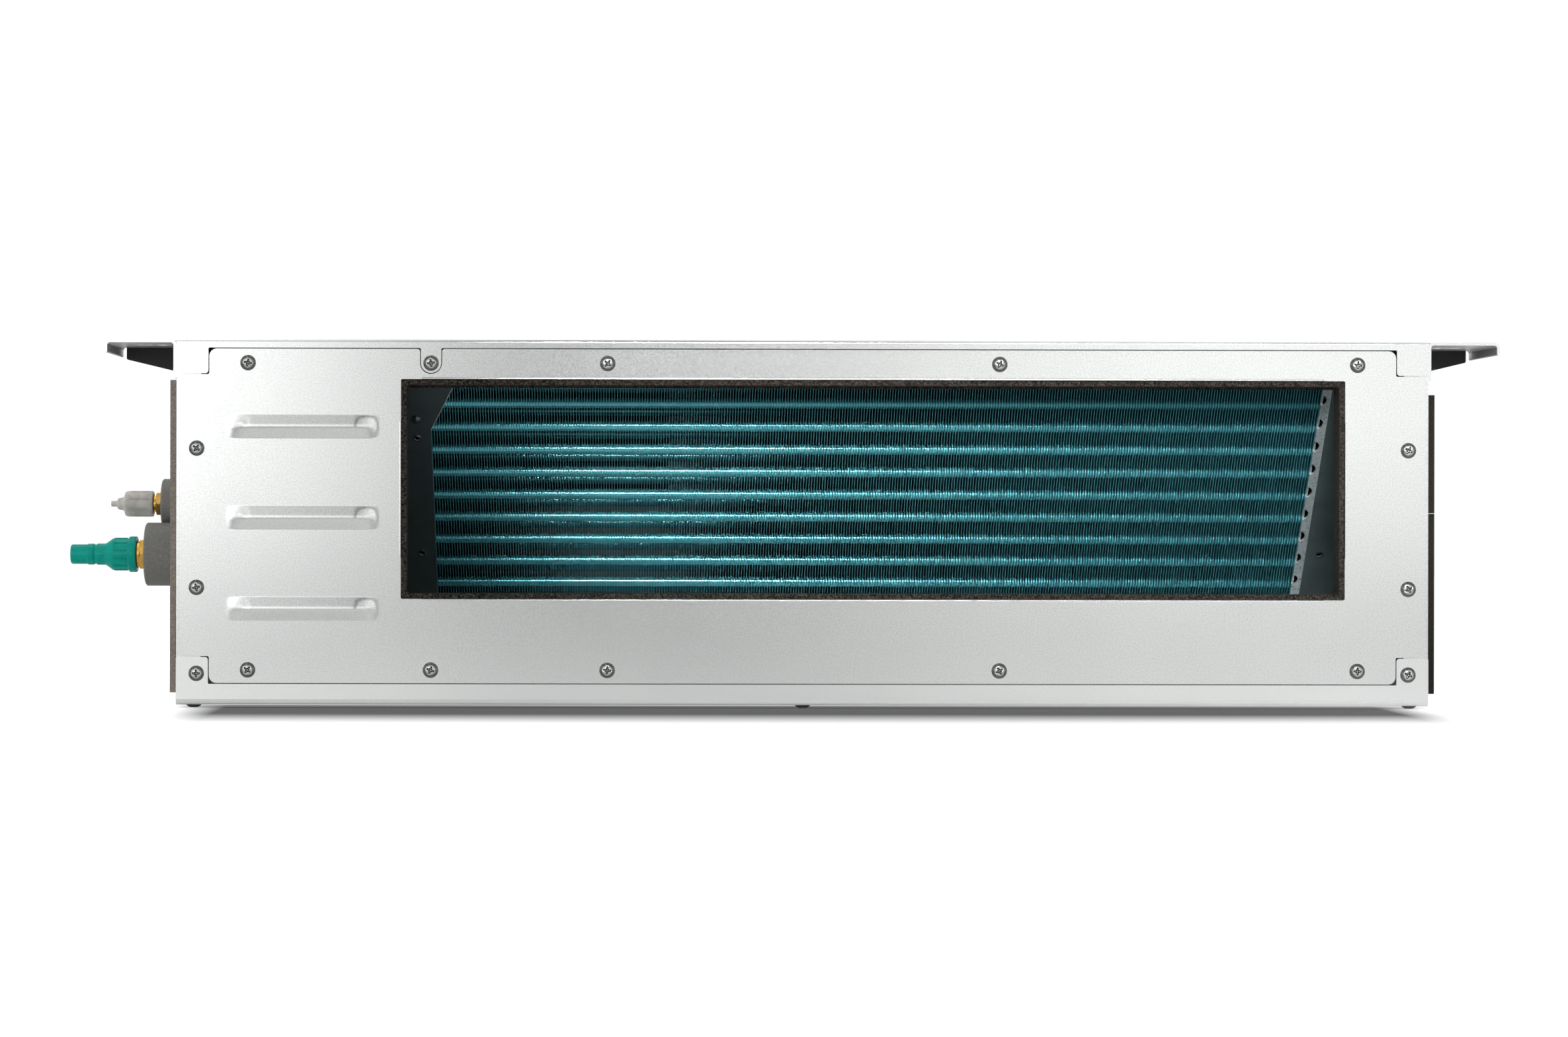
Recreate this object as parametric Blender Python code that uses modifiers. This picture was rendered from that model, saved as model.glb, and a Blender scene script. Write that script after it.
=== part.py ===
"""Ducted indoor unit of a variable refrigerant flow air conditioner, as a bench assembly.

Metres, +Z up. The air outlet faces -Y and +X is to the right of a person facing it. The
origin is the centre of the casing's footprint, on the underside of the base panel.
"""

import math

import bmesh
import bpy
from mathutils import Matrix, Vector

# Casing
WIDTH = 0.920
DEPTH = 0.570
HEIGHT = 0.268
SHEET = 0.0012
CLEAR = 0.0003
SEAM = 0.0008
FLANGE = 0.018
EDGE_INSET = 0.0022
TOP_STRIP = 0.0062
BASE_STRIP = 0.0153
TAB_WIDTH = 0.0235
TOP_TAB_DROP = 0.0250
BASE_TAB_RISE = 0.0350
TAB_RADIUS = 0.0055
EASE = 0.001
MIDDLE_TAB_X = -0.2735
MIDDLE_TAB_WIDTH = 0.0150
MIDDLE_TAB_DROP = 0.0245

# Outlet opening, measured from the casing's left side, right side and base
OPENING_LEFT = 0.1646
OPENING_RIGHT = 0.0617
OPENING_BOTTOM = 0.0779
OPENING_TOP = 0.0291
OPENING_FLANGE = 0.010
OPENING_RELIEF = 0.014
OPENING_CORNER = 0.003
FLANGE_STEP = 0.0001
LINING = 0.004
LINING_DEPTH = 0.022
LINING_CORNER = 0.002

# Pressed ribs left of the opening, spread as shares of the opening's height
RIB_LENGTH = 0.1107
RIB_WIDTH = 0.0165
RIB_HEIGHT = 0.0036
RIB_CREST = 0.78
RIB_CREST_WIDTH = 0.12
RIB_FROM_SIDE = 0.0925
RIB_SPREAD = 0.415
RIB_MIDDLE = 0.370
RIB_COUNT = 3

# Screws that show
SCREW_RADIUS = 0.0057
SCREW_HEAD = 0.0024
SCREW_ROW_TOP = 0.0173
SCREW_ROW_BOTTOM = 0.0256
SCREW_FROM_SIDE = 0.0525
SCREW_INNER = 0.1440
SCREW_COLUMN = 0.0150
SCREW_COLUMN_SHARES = (0.321, 0.7015)
SCREW_CORNER_Z = 0.0230
BASE_SCREW_Y = 0.012

# Hanging brackets
HANGER_SHEET = 0.0023
HANGER_REACH = 0.0535
HANGER_DEPTH = 0.095
HANGER_FLANGE = 0.0285
HANGER_LIP = 0.0095
HANGER_WEB = 0.0270
HANGER_WEB_TIP = 0.0135
HANGER_BEND = 0.0020
HANGER_SLIT = 0.0023
HANGER_SLIT_IN = 0.0175
HANGER_SLOT_WIDTH = 0.0110
HANGER_HOLE_RADIUS = 0.0085
HANGER_HOLE_OUT = 0.0175
HANGER_SLOT_LENGTH = 0.0200
HANGER_SETBACK = 0.004
HANGER_INSIDE_BEND = 0.0005

# Side foam sheets
FOAM = 0.0042
FOAM_DEPTH = 0.262
FOAM_LEFT_TOP = 0.0300
FOAM_LEFT_BOTTOM = 0.0090
FOAM_RIGHT_TOP = 0.0390
FOAM_RIGHT_SPLIT = 0.1420

# Wall between the coil's chamber and the fans, and the room that the fans need behind it
FAN_ROOM = 0.302
DECK_Y = DEPTH - FAN_ROOM
DECK_SHEET = 0.0015

# Coil, a slab of fins that leans from under the top panel down to the drain pan
COIL_COLUMNS = 2
TUBE_PITCH = 0.0220
COLUMN_PITCH = 0.0180
TUBE_RADIUS = 0.0040
COIL_SETBACK = 0.030
COIL_DROP = 0.028
COIL_FOOT_ROOM = 0.0614
COIL_FOOT_HEIGHT = 0.0437
COIL_RUN = DECK_Y - COIL_SETBACK - COIL_FOOT_ROOM
COIL_RISE = HEIGHT - COIL_DROP - COIL_FOOT_HEIGHT
COIL_LEAN = math.atan2(COIL_RUN, COIL_RISE)
COIL_ROWS = int(math.hypot(COIL_RUN, COIL_RISE) / TUBE_PITCH + 0.1)
COIL_LEFT_MARGIN = 0.019
COIL_RIGHT_MARGIN = 0.010
FIN_GROOVE = 0.0040
FIN_PITCH = 0.0222
FIN_SHARE = 0.55
END_PLATE = 0.0015
END_PLATE_FLANGE = 0.0078
END_PLATE_RIM = 0.003
COVER_PLATE = 0.0012
COVER_LAP = 0.0010
COVER_WEDGE = 0.019
COVER_WEDGE_DROP = 0.042
COVER_HOLE = 0.0026
COVER_HOLE_IN = 0.0106
COVER_HOLE_SHARES = (0.225, 0.657)

# Refrigerant lines
GAS_TUBE = 0.00635
LIQUID_TUBE = 0.0040
MANIFOLD_RADIUS = 0.0080
MANIFOLD_STANDOFF = 0.040
MANIFOLD_INSET = 0.0025
LINE_BEND = 0.020
GAS_SHARE = 0.405
GAS_BEHIND_COIL = 0.0296
LIQUID_BACK = 0.022
LIQUID_RISE = 0.0393
GAS_Z = GAS_SHARE * HEIGHT
GAS_Y = COIL_SETBACK + (HEIGHT - COIL_DROP - GAS_Z) * math.tan(COIL_LEAN) + GAS_BEHIND_COIL
LIQUID_Z = GAS_Z + LIQUID_RISE
LIQUID_Y = GAS_Y + LIQUID_BACK
PIPE_HOLE_ROOM = 0.004
GAS_COLLAR_RADIUS = 0.0246
GAS_COLLAR_LENGTH = 0.0428
LIQUID_COLLAR_RADIUS = 0.0196
LIQUID_COLLAR_LENGTH = 0.0327
GAS_HEX = 0.0240
LIQUID_HEX = 0.0187
HEX_LENGTH = 0.0045
GAS_THREAD = 0.0093
LIQUID_THREAD = 0.0056
THREAD_LENGTH = 0.014
THREAD_SHOULDER = 0.0009
THREAD_NECK = 0.002
GAS_CAP_LENGTH = 0.0515
GAS_CAP_RADIUS = 0.0140
LIQUID_CAP_LENGTH = 0.0335
LIQUID_CAP_RADIUS = 0.0102
CAP_DEPTH = 0.017
VALVE_FROM_SIDE = 0.068
VALVE_X = VALVE_FROM_SIDE - WIDTH / 2
VALVE_RADIUS = 0.0095
VALVE_BELOW = 0.0278
VALVE_ABOVE = 0.0202
VALVE_BOTTOM = LIQUID_Z - VALVE_BELOW
VALVE_TOP = LIQUID_Z + VALVE_ABOVE
VALVE_COIL_RADIUS = 0.0185
VALVE_COIL_HEIGHT = 0.026
VALVE_TIP = 0.004

# Drain pan
PAN_BOTTOM = 0.0034
PAN_WALL = 0.006
PAN_FLOOR = 0.008
PAN_FRONT = 0.010
PAN_DECK_GAP = 0.006
PAN_REAR = DECK_Y - PAN_DECK_GAP
PAN_CORNER = 0.002
PAN_FRONT_HEIGHT = 0.058
PAN_REAR_HEIGHT = 0.062
PAN_SEAT = 0.030
SPOUT_RADIUS = 0.0125
SPOUT_BORE = 0.0100
SPOUT_LENGTH = 0.0155
SPOUT_INWARD = 0.0157
SPOUT_FROM_REAR = 0.062
SPOUT_Y = PAN_REAR - SPOUT_FROM_REAR
SPOUT_Z = 0.0262
PLUG_DEPTH = 0.012
PLUG_HEAD = 0.003
PLUG_NOSE = 0.002

# Fans
FAN_SPACING = 0.400
FAN_REAR_ROOM = 0.028
SCROLL_ROOM = 0.009
SCROLL_WIDTH = 0.212
SCROLL_WALL = 0.0020
SCROLL_STEPS = 22
TONGUE_ANGLE = math.radians(20)
TONGUE_GAP = 0.0075
WHEEL_RADIUS = 0.0775
WHEEL_WIDTH = 0.190
WHEEL_RIM = 0.006
WHEEL_DISC = 0.0030
BLADES = 20
BLADE_CHORD = 0.0135
BLADE_SHARE = 0.30
HUB_RADIUS = 0.017
HUB_LENGTH = 0.030
SHAFT_RADIUS = 0.005
INLET_RADIUS = 0.068
INLET_LIP = 0.006
INLET_SIDES = 20

# Motor between the fans
MOTOR_RADIUS = 0.046
MOTOR_LENGTH = 0.072
MOTOR_SHOULDER = 0.005
BOSS_RADIUS = 0.022
BOSS_LENGTH = 0.015
RING_RADIUS = 0.028
RING_WIDTH = 0.011
RING_GAP = 0.0005
CRADLE_SHEET = 0.0025
CRADLE_WIDTH = 0.052
CRADLE_EAR = 0.014
CLAMP_SHEET = 0.0020
CLAMP_STEPS = 10

# Control box on the right side
BOX_FOAM_GAP = 0.028
BOX_REAR_ROOM = 0.045
BOX_TOP_ROOM = 0.048
BOX_BOTTOM = 0.040
BOX_FRONT = FOAM_DEPTH + BOX_FOAM_GAP
BOX_LENGTH = DEPTH - BOX_FRONT - BOX_REAR_ROOM
BOX_HEIGHT = HEIGHT - BOX_BOTTOM - BOX_TOP_ROOM
BOX_DEPTH = 0.044
BOX_SHEET = 0.0010
COVER_LIP = 0.010
BOARD_MARGIN = 0.014
BOARD_SHEET = 0.0016
BOARD_STANDOFF = 0.008
POST_RADIUS = 0.0025
POST_INSET = 0.006
HEAT_SINK_HEIGHT = 0.018
CAPACITOR_HEIGHT = 0.022
CHIP_HEIGHT = 0.005
TERMINAL_DEPTH = 0.020
TERMINAL_LENGTH = 0.060
TERMINAL_HEIGHT = 0.022
TERMINAL_WAYS = 5
TERMINAL_RIB = 0.15
GROMMET_RADIUS = 0.011
GROMMET_LIP = 0.0025
GROMMET_GROOVE = 0.0015

# Return air side
INLET_SIDE = 0.062
INLET_BOTTOM = 0.036
INLET_TOP = 0.036
RAIL_DEPTH = 0.013
RAIL_HEIGHT = 0.012
RAIL_SHEET = 0.0010
FILTER_MARGIN = 0.020
FILTER_THICK = 0.0065
FILTER_BAR = 0.008
FILTER_COLUMNS = 8
FILTER_ROWS = 3
NET = 0.0010

WELD = 1e-6
ROUND = 12
BEND_STEPS = 4

FRONT = -DEPTH / 2
REAR = DEPTH / 2
SIDE = WIDTH / 2
INNER_TOP = HEIGHT - SHEET - CLEAR
INNER_BASE = SHEET + CLEAR
INNER_SIDE = SIDE - SHEET - CLEAR
OPENING = (-SIDE + OPENING_LEFT, SIDE - OPENING_RIGHT, OPENING_BOTTOM, HEIGHT - OPENING_TOP)
TURN = {"X": (math.pi / 2, 0, math.pi / 2), "Y": (math.pi / 2, 0, 0), "Z": (0, 0, 0)}

for item in list(bpy.data.objects):
    bpy.data.objects.remove(item)


def collection(name):
    made = bpy.data.collections.new(name)
    bpy.context.scene.collection.children.link(made)
    return made


unit = collection("ducted_indoor_unit")
cutters = collection("cutters")


def material(name, colour, roughness, metallic=0.0):
    made = bpy.data.materials.new(name)
    made.use_nodes = True
    shader = made.node_tree.nodes["Principled BSDF"]
    shader.inputs["Base Color"].default_value = (*colour, 1)
    shader.inputs["Roughness"].default_value = roughness
    shader.inputs["Metallic"].default_value = metallic
    return made


ZINC = material("galvanised_steel", (0.72, 0.74, 0.76), 0.42, 0.8)
BRACKET = material("bracket_steel", (0.20, 0.19, 0.21), 0.45, 0.7)
FOAM_SKIN = material("side_foam", (0.13, 0.11, 0.10), 0.9)
LINING_FOAM = material("lining_foam", (0.03, 0.025, 0.02), 0.9)
FINS = material("coated_fins", (0.02, 0.16, 0.20), 0.4, 0.5)
COPPER = material("copper", (0.72, 0.38, 0.22), 0.3, 1.0)
SLATE = material("slate_plate", (0.016, 0.024, 0.027), 0.5)
PLATE_GREY = material("coil_end_steel", (0.16, 0.21, 0.23), 0.4, 0.7)
BRASS = material("brass", (0.60, 0.33, 0.10), 0.3, 1.0)
GREEN = material("green_cap", (0.0, 0.26, 0.17), 0.25)
GREY_CAP = material("grey_cap", (0.33, 0.30, 0.31), 0.35)
COLLAR = material("collar_foam", (0.06, 0.06, 0.057), 0.7)
BLACK = material("black_plastic", (0.02, 0.02, 0.022), 0.5)
WHITE_FOAM = material("pan_foam", (0.75, 0.76, 0.76), 0.7)
RUBBER = material("rubber", (0.015, 0.015, 0.015), 0.8)
MOTOR_GREY = material("motor_shell", (0.30, 0.31, 0.32), 0.4, 0.6)
BOARD_GREEN = material("circuit_board", (0.01, 0.12, 0.05), 0.5)
NET_GREY = material("filter_net", (0.10, 0.10, 0.11), 0.7)


def outline(corners, steps=2):
    """A closed outline through corners (u, v, radius), each rounded by its own radius."""
    points = []
    for i, (u, v, radius) in enumerate(corners):
        here = Vector((u, v))
        if radius == 0:
            points.append(here)
            continue
        before = (Vector(corners[i - 1][:2]) - here).normalized()
        after = (Vector(corners[(i + 1) % len(corners)][:2]) - here).normalized()
        half = before.angle(after) / 2
        centre = here + (before + after).normalized() * radius / math.sin(half)
        start = here + before * radius / math.tan(half) - centre
        end = here + after * radius / math.tan(half) - centre
        for step in range(steps + 1):
            points.append(centre + start.lerp(end, step / steps).normalized() * radius)
    return points


def rectangle(left, right, low, high, radius=0.0):
    return outline([(left, low, radius), (right, low, radius), (right, high, radius), (left, high, radius)])


def circle(u, v, radius, sides=ROUND):
    """A many-sided circle whose flats lie on the radius, so that a round piece fits inside it."""
    reach = radius / math.cos(math.pi / sides)
    turns = [2 * math.pi * (i + 0.5) / sides for i in range(sides)]
    return [Vector((u + reach * math.cos(turn), v + reach * math.sin(turn))) for turn in turns]


def as_mesh(blank, finish=None, cap=None):
    """The evaluated shape as a plain mesh object, its caps welded and its faces turned outwards."""
    graph = bpy.context.evaluated_depsgraph_get()
    mesh = bpy.data.meshes.new_from_object(blank.evaluated_get(graph))
    shape = bmesh.new()
    shape.from_mesh(mesh)
    bmesh.ops.remove_doubles(shape, verts=shape.verts, dist=WELD)
    for level in (-cap, cap) if cap else ():
        flat = [face for face in shape.faces if all(abs(vert.co.z - level) < WELD for vert in face.verts)]
        bmesh.ops.dissolve_faces(shape, faces=flat)
    bmesh.ops.recalc_face_normals(shape, faces=shape.faces)
    shape.to_mesh(mesh)
    shape.free()
    name = blank.name
    place = blank.matrix_world.copy()
    bpy.data.objects.remove(blank)
    solid = bpy.data.objects.new(name, mesh)
    solid.matrix_world = place
    unit.objects.link(solid)
    mesh.materials.clear()
    if finish:
        mesh.materials.append(finish)
    return solid


def prism(name, axis, loops, low, high, finish=None):
    """Flat outlines, the first with the others as holes in it, extruded along an axis from low to high."""
    curve = bpy.data.curves.new(name, "CURVE")
    curve.dimensions = "2D"
    curve.fill_mode = "BOTH"
    curve.extrude = (high - low) / 2
    for loop in loops:
        spline = curve.splines.new("POLY")
        spline.points.add(len(loop) - 1)
        for point, (u, v) in zip(spline.points, loop):
            point.co = (u, v, 0, 1)
        spline.use_cyclic_u = True
    blank = bpy.data.objects.new(name, curve)
    blank.rotation_euler = TURN[axis]
    blank.location["XYZ".index(axis)] = (low + high) / 2
    unit.objects.link(blank)
    bpy.context.view_layer.update()
    return as_mesh(blank, finish, curve.extrude if len(loops) == 1 else None)


def box(name, x, y, z, finish=None):
    """A block between its low and high places on each axis."""
    shape = bmesh.new()
    bmesh.ops.create_cube(shape, size=1)
    bmesh.ops.scale(shape, verts=shape.verts, vec=(x[1] - x[0], y[1] - y[0], z[1] - z[0]))
    mesh = bpy.data.meshes.new(name)
    shape.to_mesh(mesh)
    shape.free()
    if finish:
        mesh.materials.append(finish)
    solid = bpy.data.objects.new(name, mesh)
    solid.location = [(low + high) / 2 for low, high in (x, y, z)]
    unit.objects.link(solid)
    bpy.context.view_layer.update()
    return solid


def turned(name, profile, place, axis="X", closed=False, steps=ROUND, finish=None):
    """A profile of (radius, distance along the axis) points turned about an axis through a place."""
    mesh = bpy.data.meshes.new(name)
    edges = [(i, i + 1) for i in range(len(profile) - 1)]
    if closed:
        edges.append((len(profile) - 1, 0))
    mesh.from_pydata([(radius, 0, along) for radius, along in profile], edges, [])
    blank = bpy.data.objects.new(name, mesh)
    screw = blank.modifiers.new("turn", "SCREW")
    screw.steps = steps
    screw.render_steps = steps
    screw.use_merge_vertices = True
    screw.merge_threshold = 1e-5
    blank.rotation_euler = {"X": (0, math.pi / 2, 0), "Y": (-math.pi / 2, 0, 0), "Z": (0, 0, 0)}[axis]
    blank.location = place
    unit.objects.link(blank)
    bpy.context.view_layer.update()
    return as_mesh(blank, finish)


def tube(name, points, radius, finish=None, sides=2):
    """A round tube along a chain of points."""
    curve = bpy.data.curves.new(name, "CURVE")
    curve.dimensions = "3D"
    curve.bevel_depth = radius
    curve.bevel_resolution = sides
    curve.use_fill_caps = True
    spline = curve.splines.new("POLY")
    spline.points.add(len(points) - 1)
    for point, place in zip(spline.points, points):
        point.co = (*place, 1)
    blank = bpy.data.objects.new(name, curve)
    unit.objects.link(blank)
    bpy.context.view_layer.update()
    return as_mesh(blank, finish)


def bent(corners, radius, steps=4):
    """A route through corners in space, with each bend an arc of the given radius."""
    points = [Vector(corners[0])]
    for i in range(1, len(corners) - 1):
        here = Vector(corners[i])
        before = (Vector(corners[i - 1]) - here).normalized()
        after = (Vector(corners[i + 1]) - here).normalized()
        half = before.angle(after) / 2
        centre = here + (before + after).normalized() * radius / math.sin(half)
        start = here + before * radius / math.tan(half) - centre
        end = here + after * radius / math.tan(half) - centre
        for step in range(steps + 1):
            points.append(centre + start.lerp(end, step / steps).normalized() * radius)
    points.append(Vector(corners[-1]))
    return points


def combine(target, tools, operation):
    """Boolean modifiers on the target, with the other shapes kept aside as wire guides."""
    for tool in tools:
        modifier = target.modifiers.new(tool.name, "BOOLEAN")
        modifier.operation = operation
        modifier.solver = "EXACT"
        modifier.object = tool
        for home in list(tool.users_collection):
            home.objects.unlink(tool)
        cutters.objects.link(tool)
        tool.hide_render = True
        tool.display_type = "WIRE"
    return target


def join(target, *tools):
    return combine(target, tools, "UNION")


def cut(target, *tools):
    return combine(target, tools, "DIFFERENCE")


def screw_head(name, place, axis, outward):
    """A low domed head that stands on the sheet at a place and sinks a little into it."""
    profile = [
        (0, outward * SCREW_HEAD),
        (SCREW_RADIUS * 0.62, outward * SCREW_HEAD),
        (SCREW_RADIUS, outward * SCREW_HEAD * 0.35),
        (SCREW_RADIUS, -outward * SHEET / 2),
        (0, -outward * SHEET / 2),
    ]
    return turned(name, profile, place, axis=axis, steps=6)


def side_panel(name, side):
    """A tray of folded sheet: the skin at the side and four flanges turned in."""
    skin = (side * SIDE, side * (SIDE - FLANGE))
    x = (min(skin), max(skin))
    y = (FRONT + SHEET + CLEAR, REAR - SHEET - CLEAR)
    z = (INNER_BASE, INNER_TOP)
    panel = box(name, x, y, z, ZINC)
    hollow_x = (x[0] + SHEET, x[1] + SHEET) if side < 0 else (x[0] - SHEET, x[1] - SHEET)
    hollow = box(
        name + "_hollow",
        hollow_x,
        (y[0] + SHEET, y[1] - SHEET),
        (z[0] + SHEET, z[1] - SHEET),
    )
    return cut(panel, hollow)


def tab_strip(name, level, upward, strip, reach, y, middle_tab):
    """The strip of a top or base panel that shows on an end face, with its corner tabs."""
    far = level + upward * strip
    tip = level + upward * reach
    corners = [
        (-SIDE, level, 0),
        (-SIDE, tip, EASE),
        (-SIDE + TAB_WIDTH, tip, TAB_RADIUS),
        (-SIDE + TAB_WIDTH, far, 0),
    ]
    if middle_tab:
        half = MIDDLE_TAB_WIDTH / 2
        end = level + upward * MIDDLE_TAB_DROP
        corners += [
            (MIDDLE_TAB_X - half, far, 0),
            (MIDDLE_TAB_X - half, end, half * 0.98),
            (MIDDLE_TAB_X + half, end, half * 0.98),
            (MIDDLE_TAB_X + half, far, 0),
        ]
    corners += [
        (SIDE - TAB_WIDTH, far, 0),
        (SIDE - TAB_WIDTH, tip, TAB_RADIUS),
        (SIDE, tip, EASE),
        (SIDE, level, 0),
    ]
    return prism(name, "Y", [outline(corners)], y, y + SHEET)


def top_panel():
    skin = box("top_panel", (-SIDE, SIDE), (FRONT, REAR), (HEIGHT - SHEET, HEIGHT), ZINC)
    front = tab_strip("top_front_strip", HEIGHT, -1, TOP_STRIP, TOP_TAB_DROP, FRONT, True)
    rear = tab_strip("top_rear_strip", HEIGHT, -1, TOP_STRIP, TOP_TAB_DROP, REAR - SHEET, False)
    screw = screw_head("top_tab_screw", (MIDDLE_TAB_X, FRONT, HEIGHT - SCREW_ROW_TOP), "Y", -1)
    return join(skin, front, rear, screw)


def base_panel():
    skin = box("base_panel", (-SIDE, SIDE), (FRONT, REAR), (0, SHEET), ZINC)
    front = tab_strip("base_front_strip", 0, 1, BASE_STRIP, BASE_TAB_RISE, FRONT, False)
    rear = tab_strip("base_rear_strip", 0, 1, BASE_STRIP, BASE_TAB_RISE, REAR - SHEET, False)
    screws = []
    for x in (-SIDE + BASE_SCREW_Y, 0, SIDE - BASE_SCREW_Y):
        for y in (FRONT + BASE_SCREW_Y, REAR - BASE_SCREW_Y):
            screws.append(screw_head(f"base_screw_{len(screws)}", (x, y, 0), "Z", -1))
    for x in (-SIDE + SCREW_COLUMN, SIDE - SCREW_COLUMN):
        screws.append(screw_head(f"base_screw_{len(screws)}", (x, FRONT, SCREW_CORNER_Z), "Y", -1))
    return join(skin, front, rear, *screws)


def end_outline(middle_tab):
    """An end panel's edge, notched round the tabs of the top and base panels."""
    left = -SIDE + EDGE_INSET
    right = SIDE - EDGE_INSET
    low = BASE_STRIP + SEAM
    high = HEIGHT - TOP_STRIP - SEAM
    notch = TAB_WIDTH + SEAM
    low_notch = BASE_TAB_RISE + SEAM
    high_notch = HEIGHT - TOP_TAB_DROP - SEAM
    inner = TAB_RADIUS + SEAM
    corners = [
        (left, low_notch, EASE),
        (-SIDE + notch, low_notch, inner),
        (-SIDE + notch, low, EASE),
        (SIDE - notch, low, EASE),
        (SIDE - notch, low_notch, inner),
        (right, low_notch, EASE),
        (right, high_notch, EASE),
        (SIDE - notch, high_notch, inner),
        (SIDE - notch, high, EASE),
    ]
    if middle_tab:
        half = MIDDLE_TAB_WIDTH / 2 + SEAM
        end = HEIGHT - MIDDLE_TAB_DROP - SEAM
        corners += [
            (MIDDLE_TAB_X + half, high, EASE),
            (MIDDLE_TAB_X + half, end, half * 0.98),
            (MIDDLE_TAB_X - half, end, half * 0.98),
            (MIDDLE_TAB_X - half, high, EASE),
        ]
    corners += [
        (-SIDE + notch, high, EASE),
        (-SIDE + notch, high_notch, inner),
        (left, high_notch, EASE),
    ]
    return outline(corners)


def opening_flanges(name, opening, y, inward):
    """Four flanges turned in round an opening, each stopping short of the corners."""
    left, right = opening[0] - FLANGE_STEP, opening[1] + FLANGE_STEP
    low, high = opening[2] - FLANGE_STEP, opening[3] + FLANGE_STEP
    y_range = sorted((y, y + inward * OPENING_FLANGE))
    cut_in = OPENING_RELIEF
    return [
        box(name + "_left", (left - SHEET, left), y_range, (low + cut_in, high - cut_in)),
        box(name + "_right", (right, right + SHEET), y_range, (low + cut_in, high - cut_in)),
        box(name + "_low", (left + cut_in, right - cut_in), y_range, (low - SHEET, low)),
        box(name + "_high", (left + cut_in, right - cut_in), y_range, (high, high + SHEET)),
    ]


def rib(name, middle_z, lift):
    """A long low ridge: a block whose outer face is drawn in to the crest line."""
    x = -SIDE + RIB_FROM_SIDE
    shape = bmesh.new()
    bmesh.ops.create_cube(shape, size=1)
    bmesh.ops.scale(shape, verts=shape.verts, vec=(RIB_LENGTH, RIB_HEIGHT + SHEET / 2, RIB_WIDTH))
    for vert in shape.verts:
        if vert.co.y < 0:
            vert.co.x *= RIB_CREST
            vert.co.z *= RIB_CREST_WIDTH
    mesh = bpy.data.meshes.new(name)
    shape.to_mesh(mesh)
    shape.free()
    solid = bpy.data.objects.new(name, mesh)
    solid.location = (x, FRONT - RIB_HEIGHT / 2 + SHEET / 4 + lift, middle_z)
    unit.objects.link(solid)
    bpy.context.view_layer.update()
    return solid


def outlet_panel():
    panel = prism("outlet_panel", "Y", [end_outline(True)], FRONT, FRONT + SHEET, ZINC)
    hole = rectangle(*OPENING, OPENING_CORNER)
    cut(panel, prism("outlet_opening", "Y", [hole], FRONT - SHEET, FRONT + 2 * SHEET))
    join(panel, *opening_flanges("outlet_flange", OPENING, FRONT + SHEET / 2, 1))
    tall = OPENING[3] - OPENING[2]
    middle = OPENING[2] + tall * RIB_MIDDLE
    places = [middle + (i - (RIB_COUNT - 1) / 2) * tall * RIB_SPREAD for i in range(RIB_COUNT)]
    join(panel, *[rib(f"rib_{i}", z, 0) for i, z in enumerate(places)])
    cut(panel, *[rib(f"rib_hollow_{i}", z, SHEET) for i, z in enumerate(places)])
    outer = SIDE - SCREW_FROM_SIDE
    spots = [(x, HEIGHT - SCREW_ROW_TOP) for x in (-outer, -SCREW_INNER, SCREW_INNER, outer)]
    spots += [(x, SCREW_ROW_BOTTOM) for x in (-outer, MIDDLE_TAB_X, -SCREW_INNER, SCREW_INNER, outer)]
    for share in SCREW_COLUMN_SHARES:
        spots += [(side * (SIDE - SCREW_COLUMN), HEIGHT * share) for side in (-1, 1)]
    heads = [screw_head(f"outlet_screw_{i}", (x, FRONT, z), "Y", -1) for i, (x, z) in enumerate(spots)]
    return join(panel, *heads)


def inlet_opening():
    return (-SIDE + INLET_SIDE, SIDE - INLET_SIDE, INLET_BOTTOM, HEIGHT - INLET_TOP)


def inlet_panel():
    opening = inlet_opening()
    panel = prism("inlet_panel", "Y", [end_outline(False)], REAR - SHEET, REAR, ZINC)
    hole = rectangle(*opening, OPENING_CORNER)
    cut(panel, prism("inlet_opening", "Y", [hole], REAR - 2 * SHEET, REAR + SHEET))
    return join(panel, *opening_flanges("inlet_flange", opening, REAR - SHEET / 2, -1))


def outlet_lining():
    """Foam tape laid inside the opening's flanges and on into the casing."""
    left, right, low, high = OPENING
    edge = rectangle(left + CLEAR, right - CLEAR, low + CLEAR, high - CLEAR, LINING_CORNER)
    hole = rectangle(left + LINING, right - LINING, low + LINING, high - LINING, LINING_CORNER)
    y = FRONT + SHEET
    return prism("outlet_lining", "Y", [edge, hole], y, y + LINING_DEPTH, LINING_FOAM)


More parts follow.
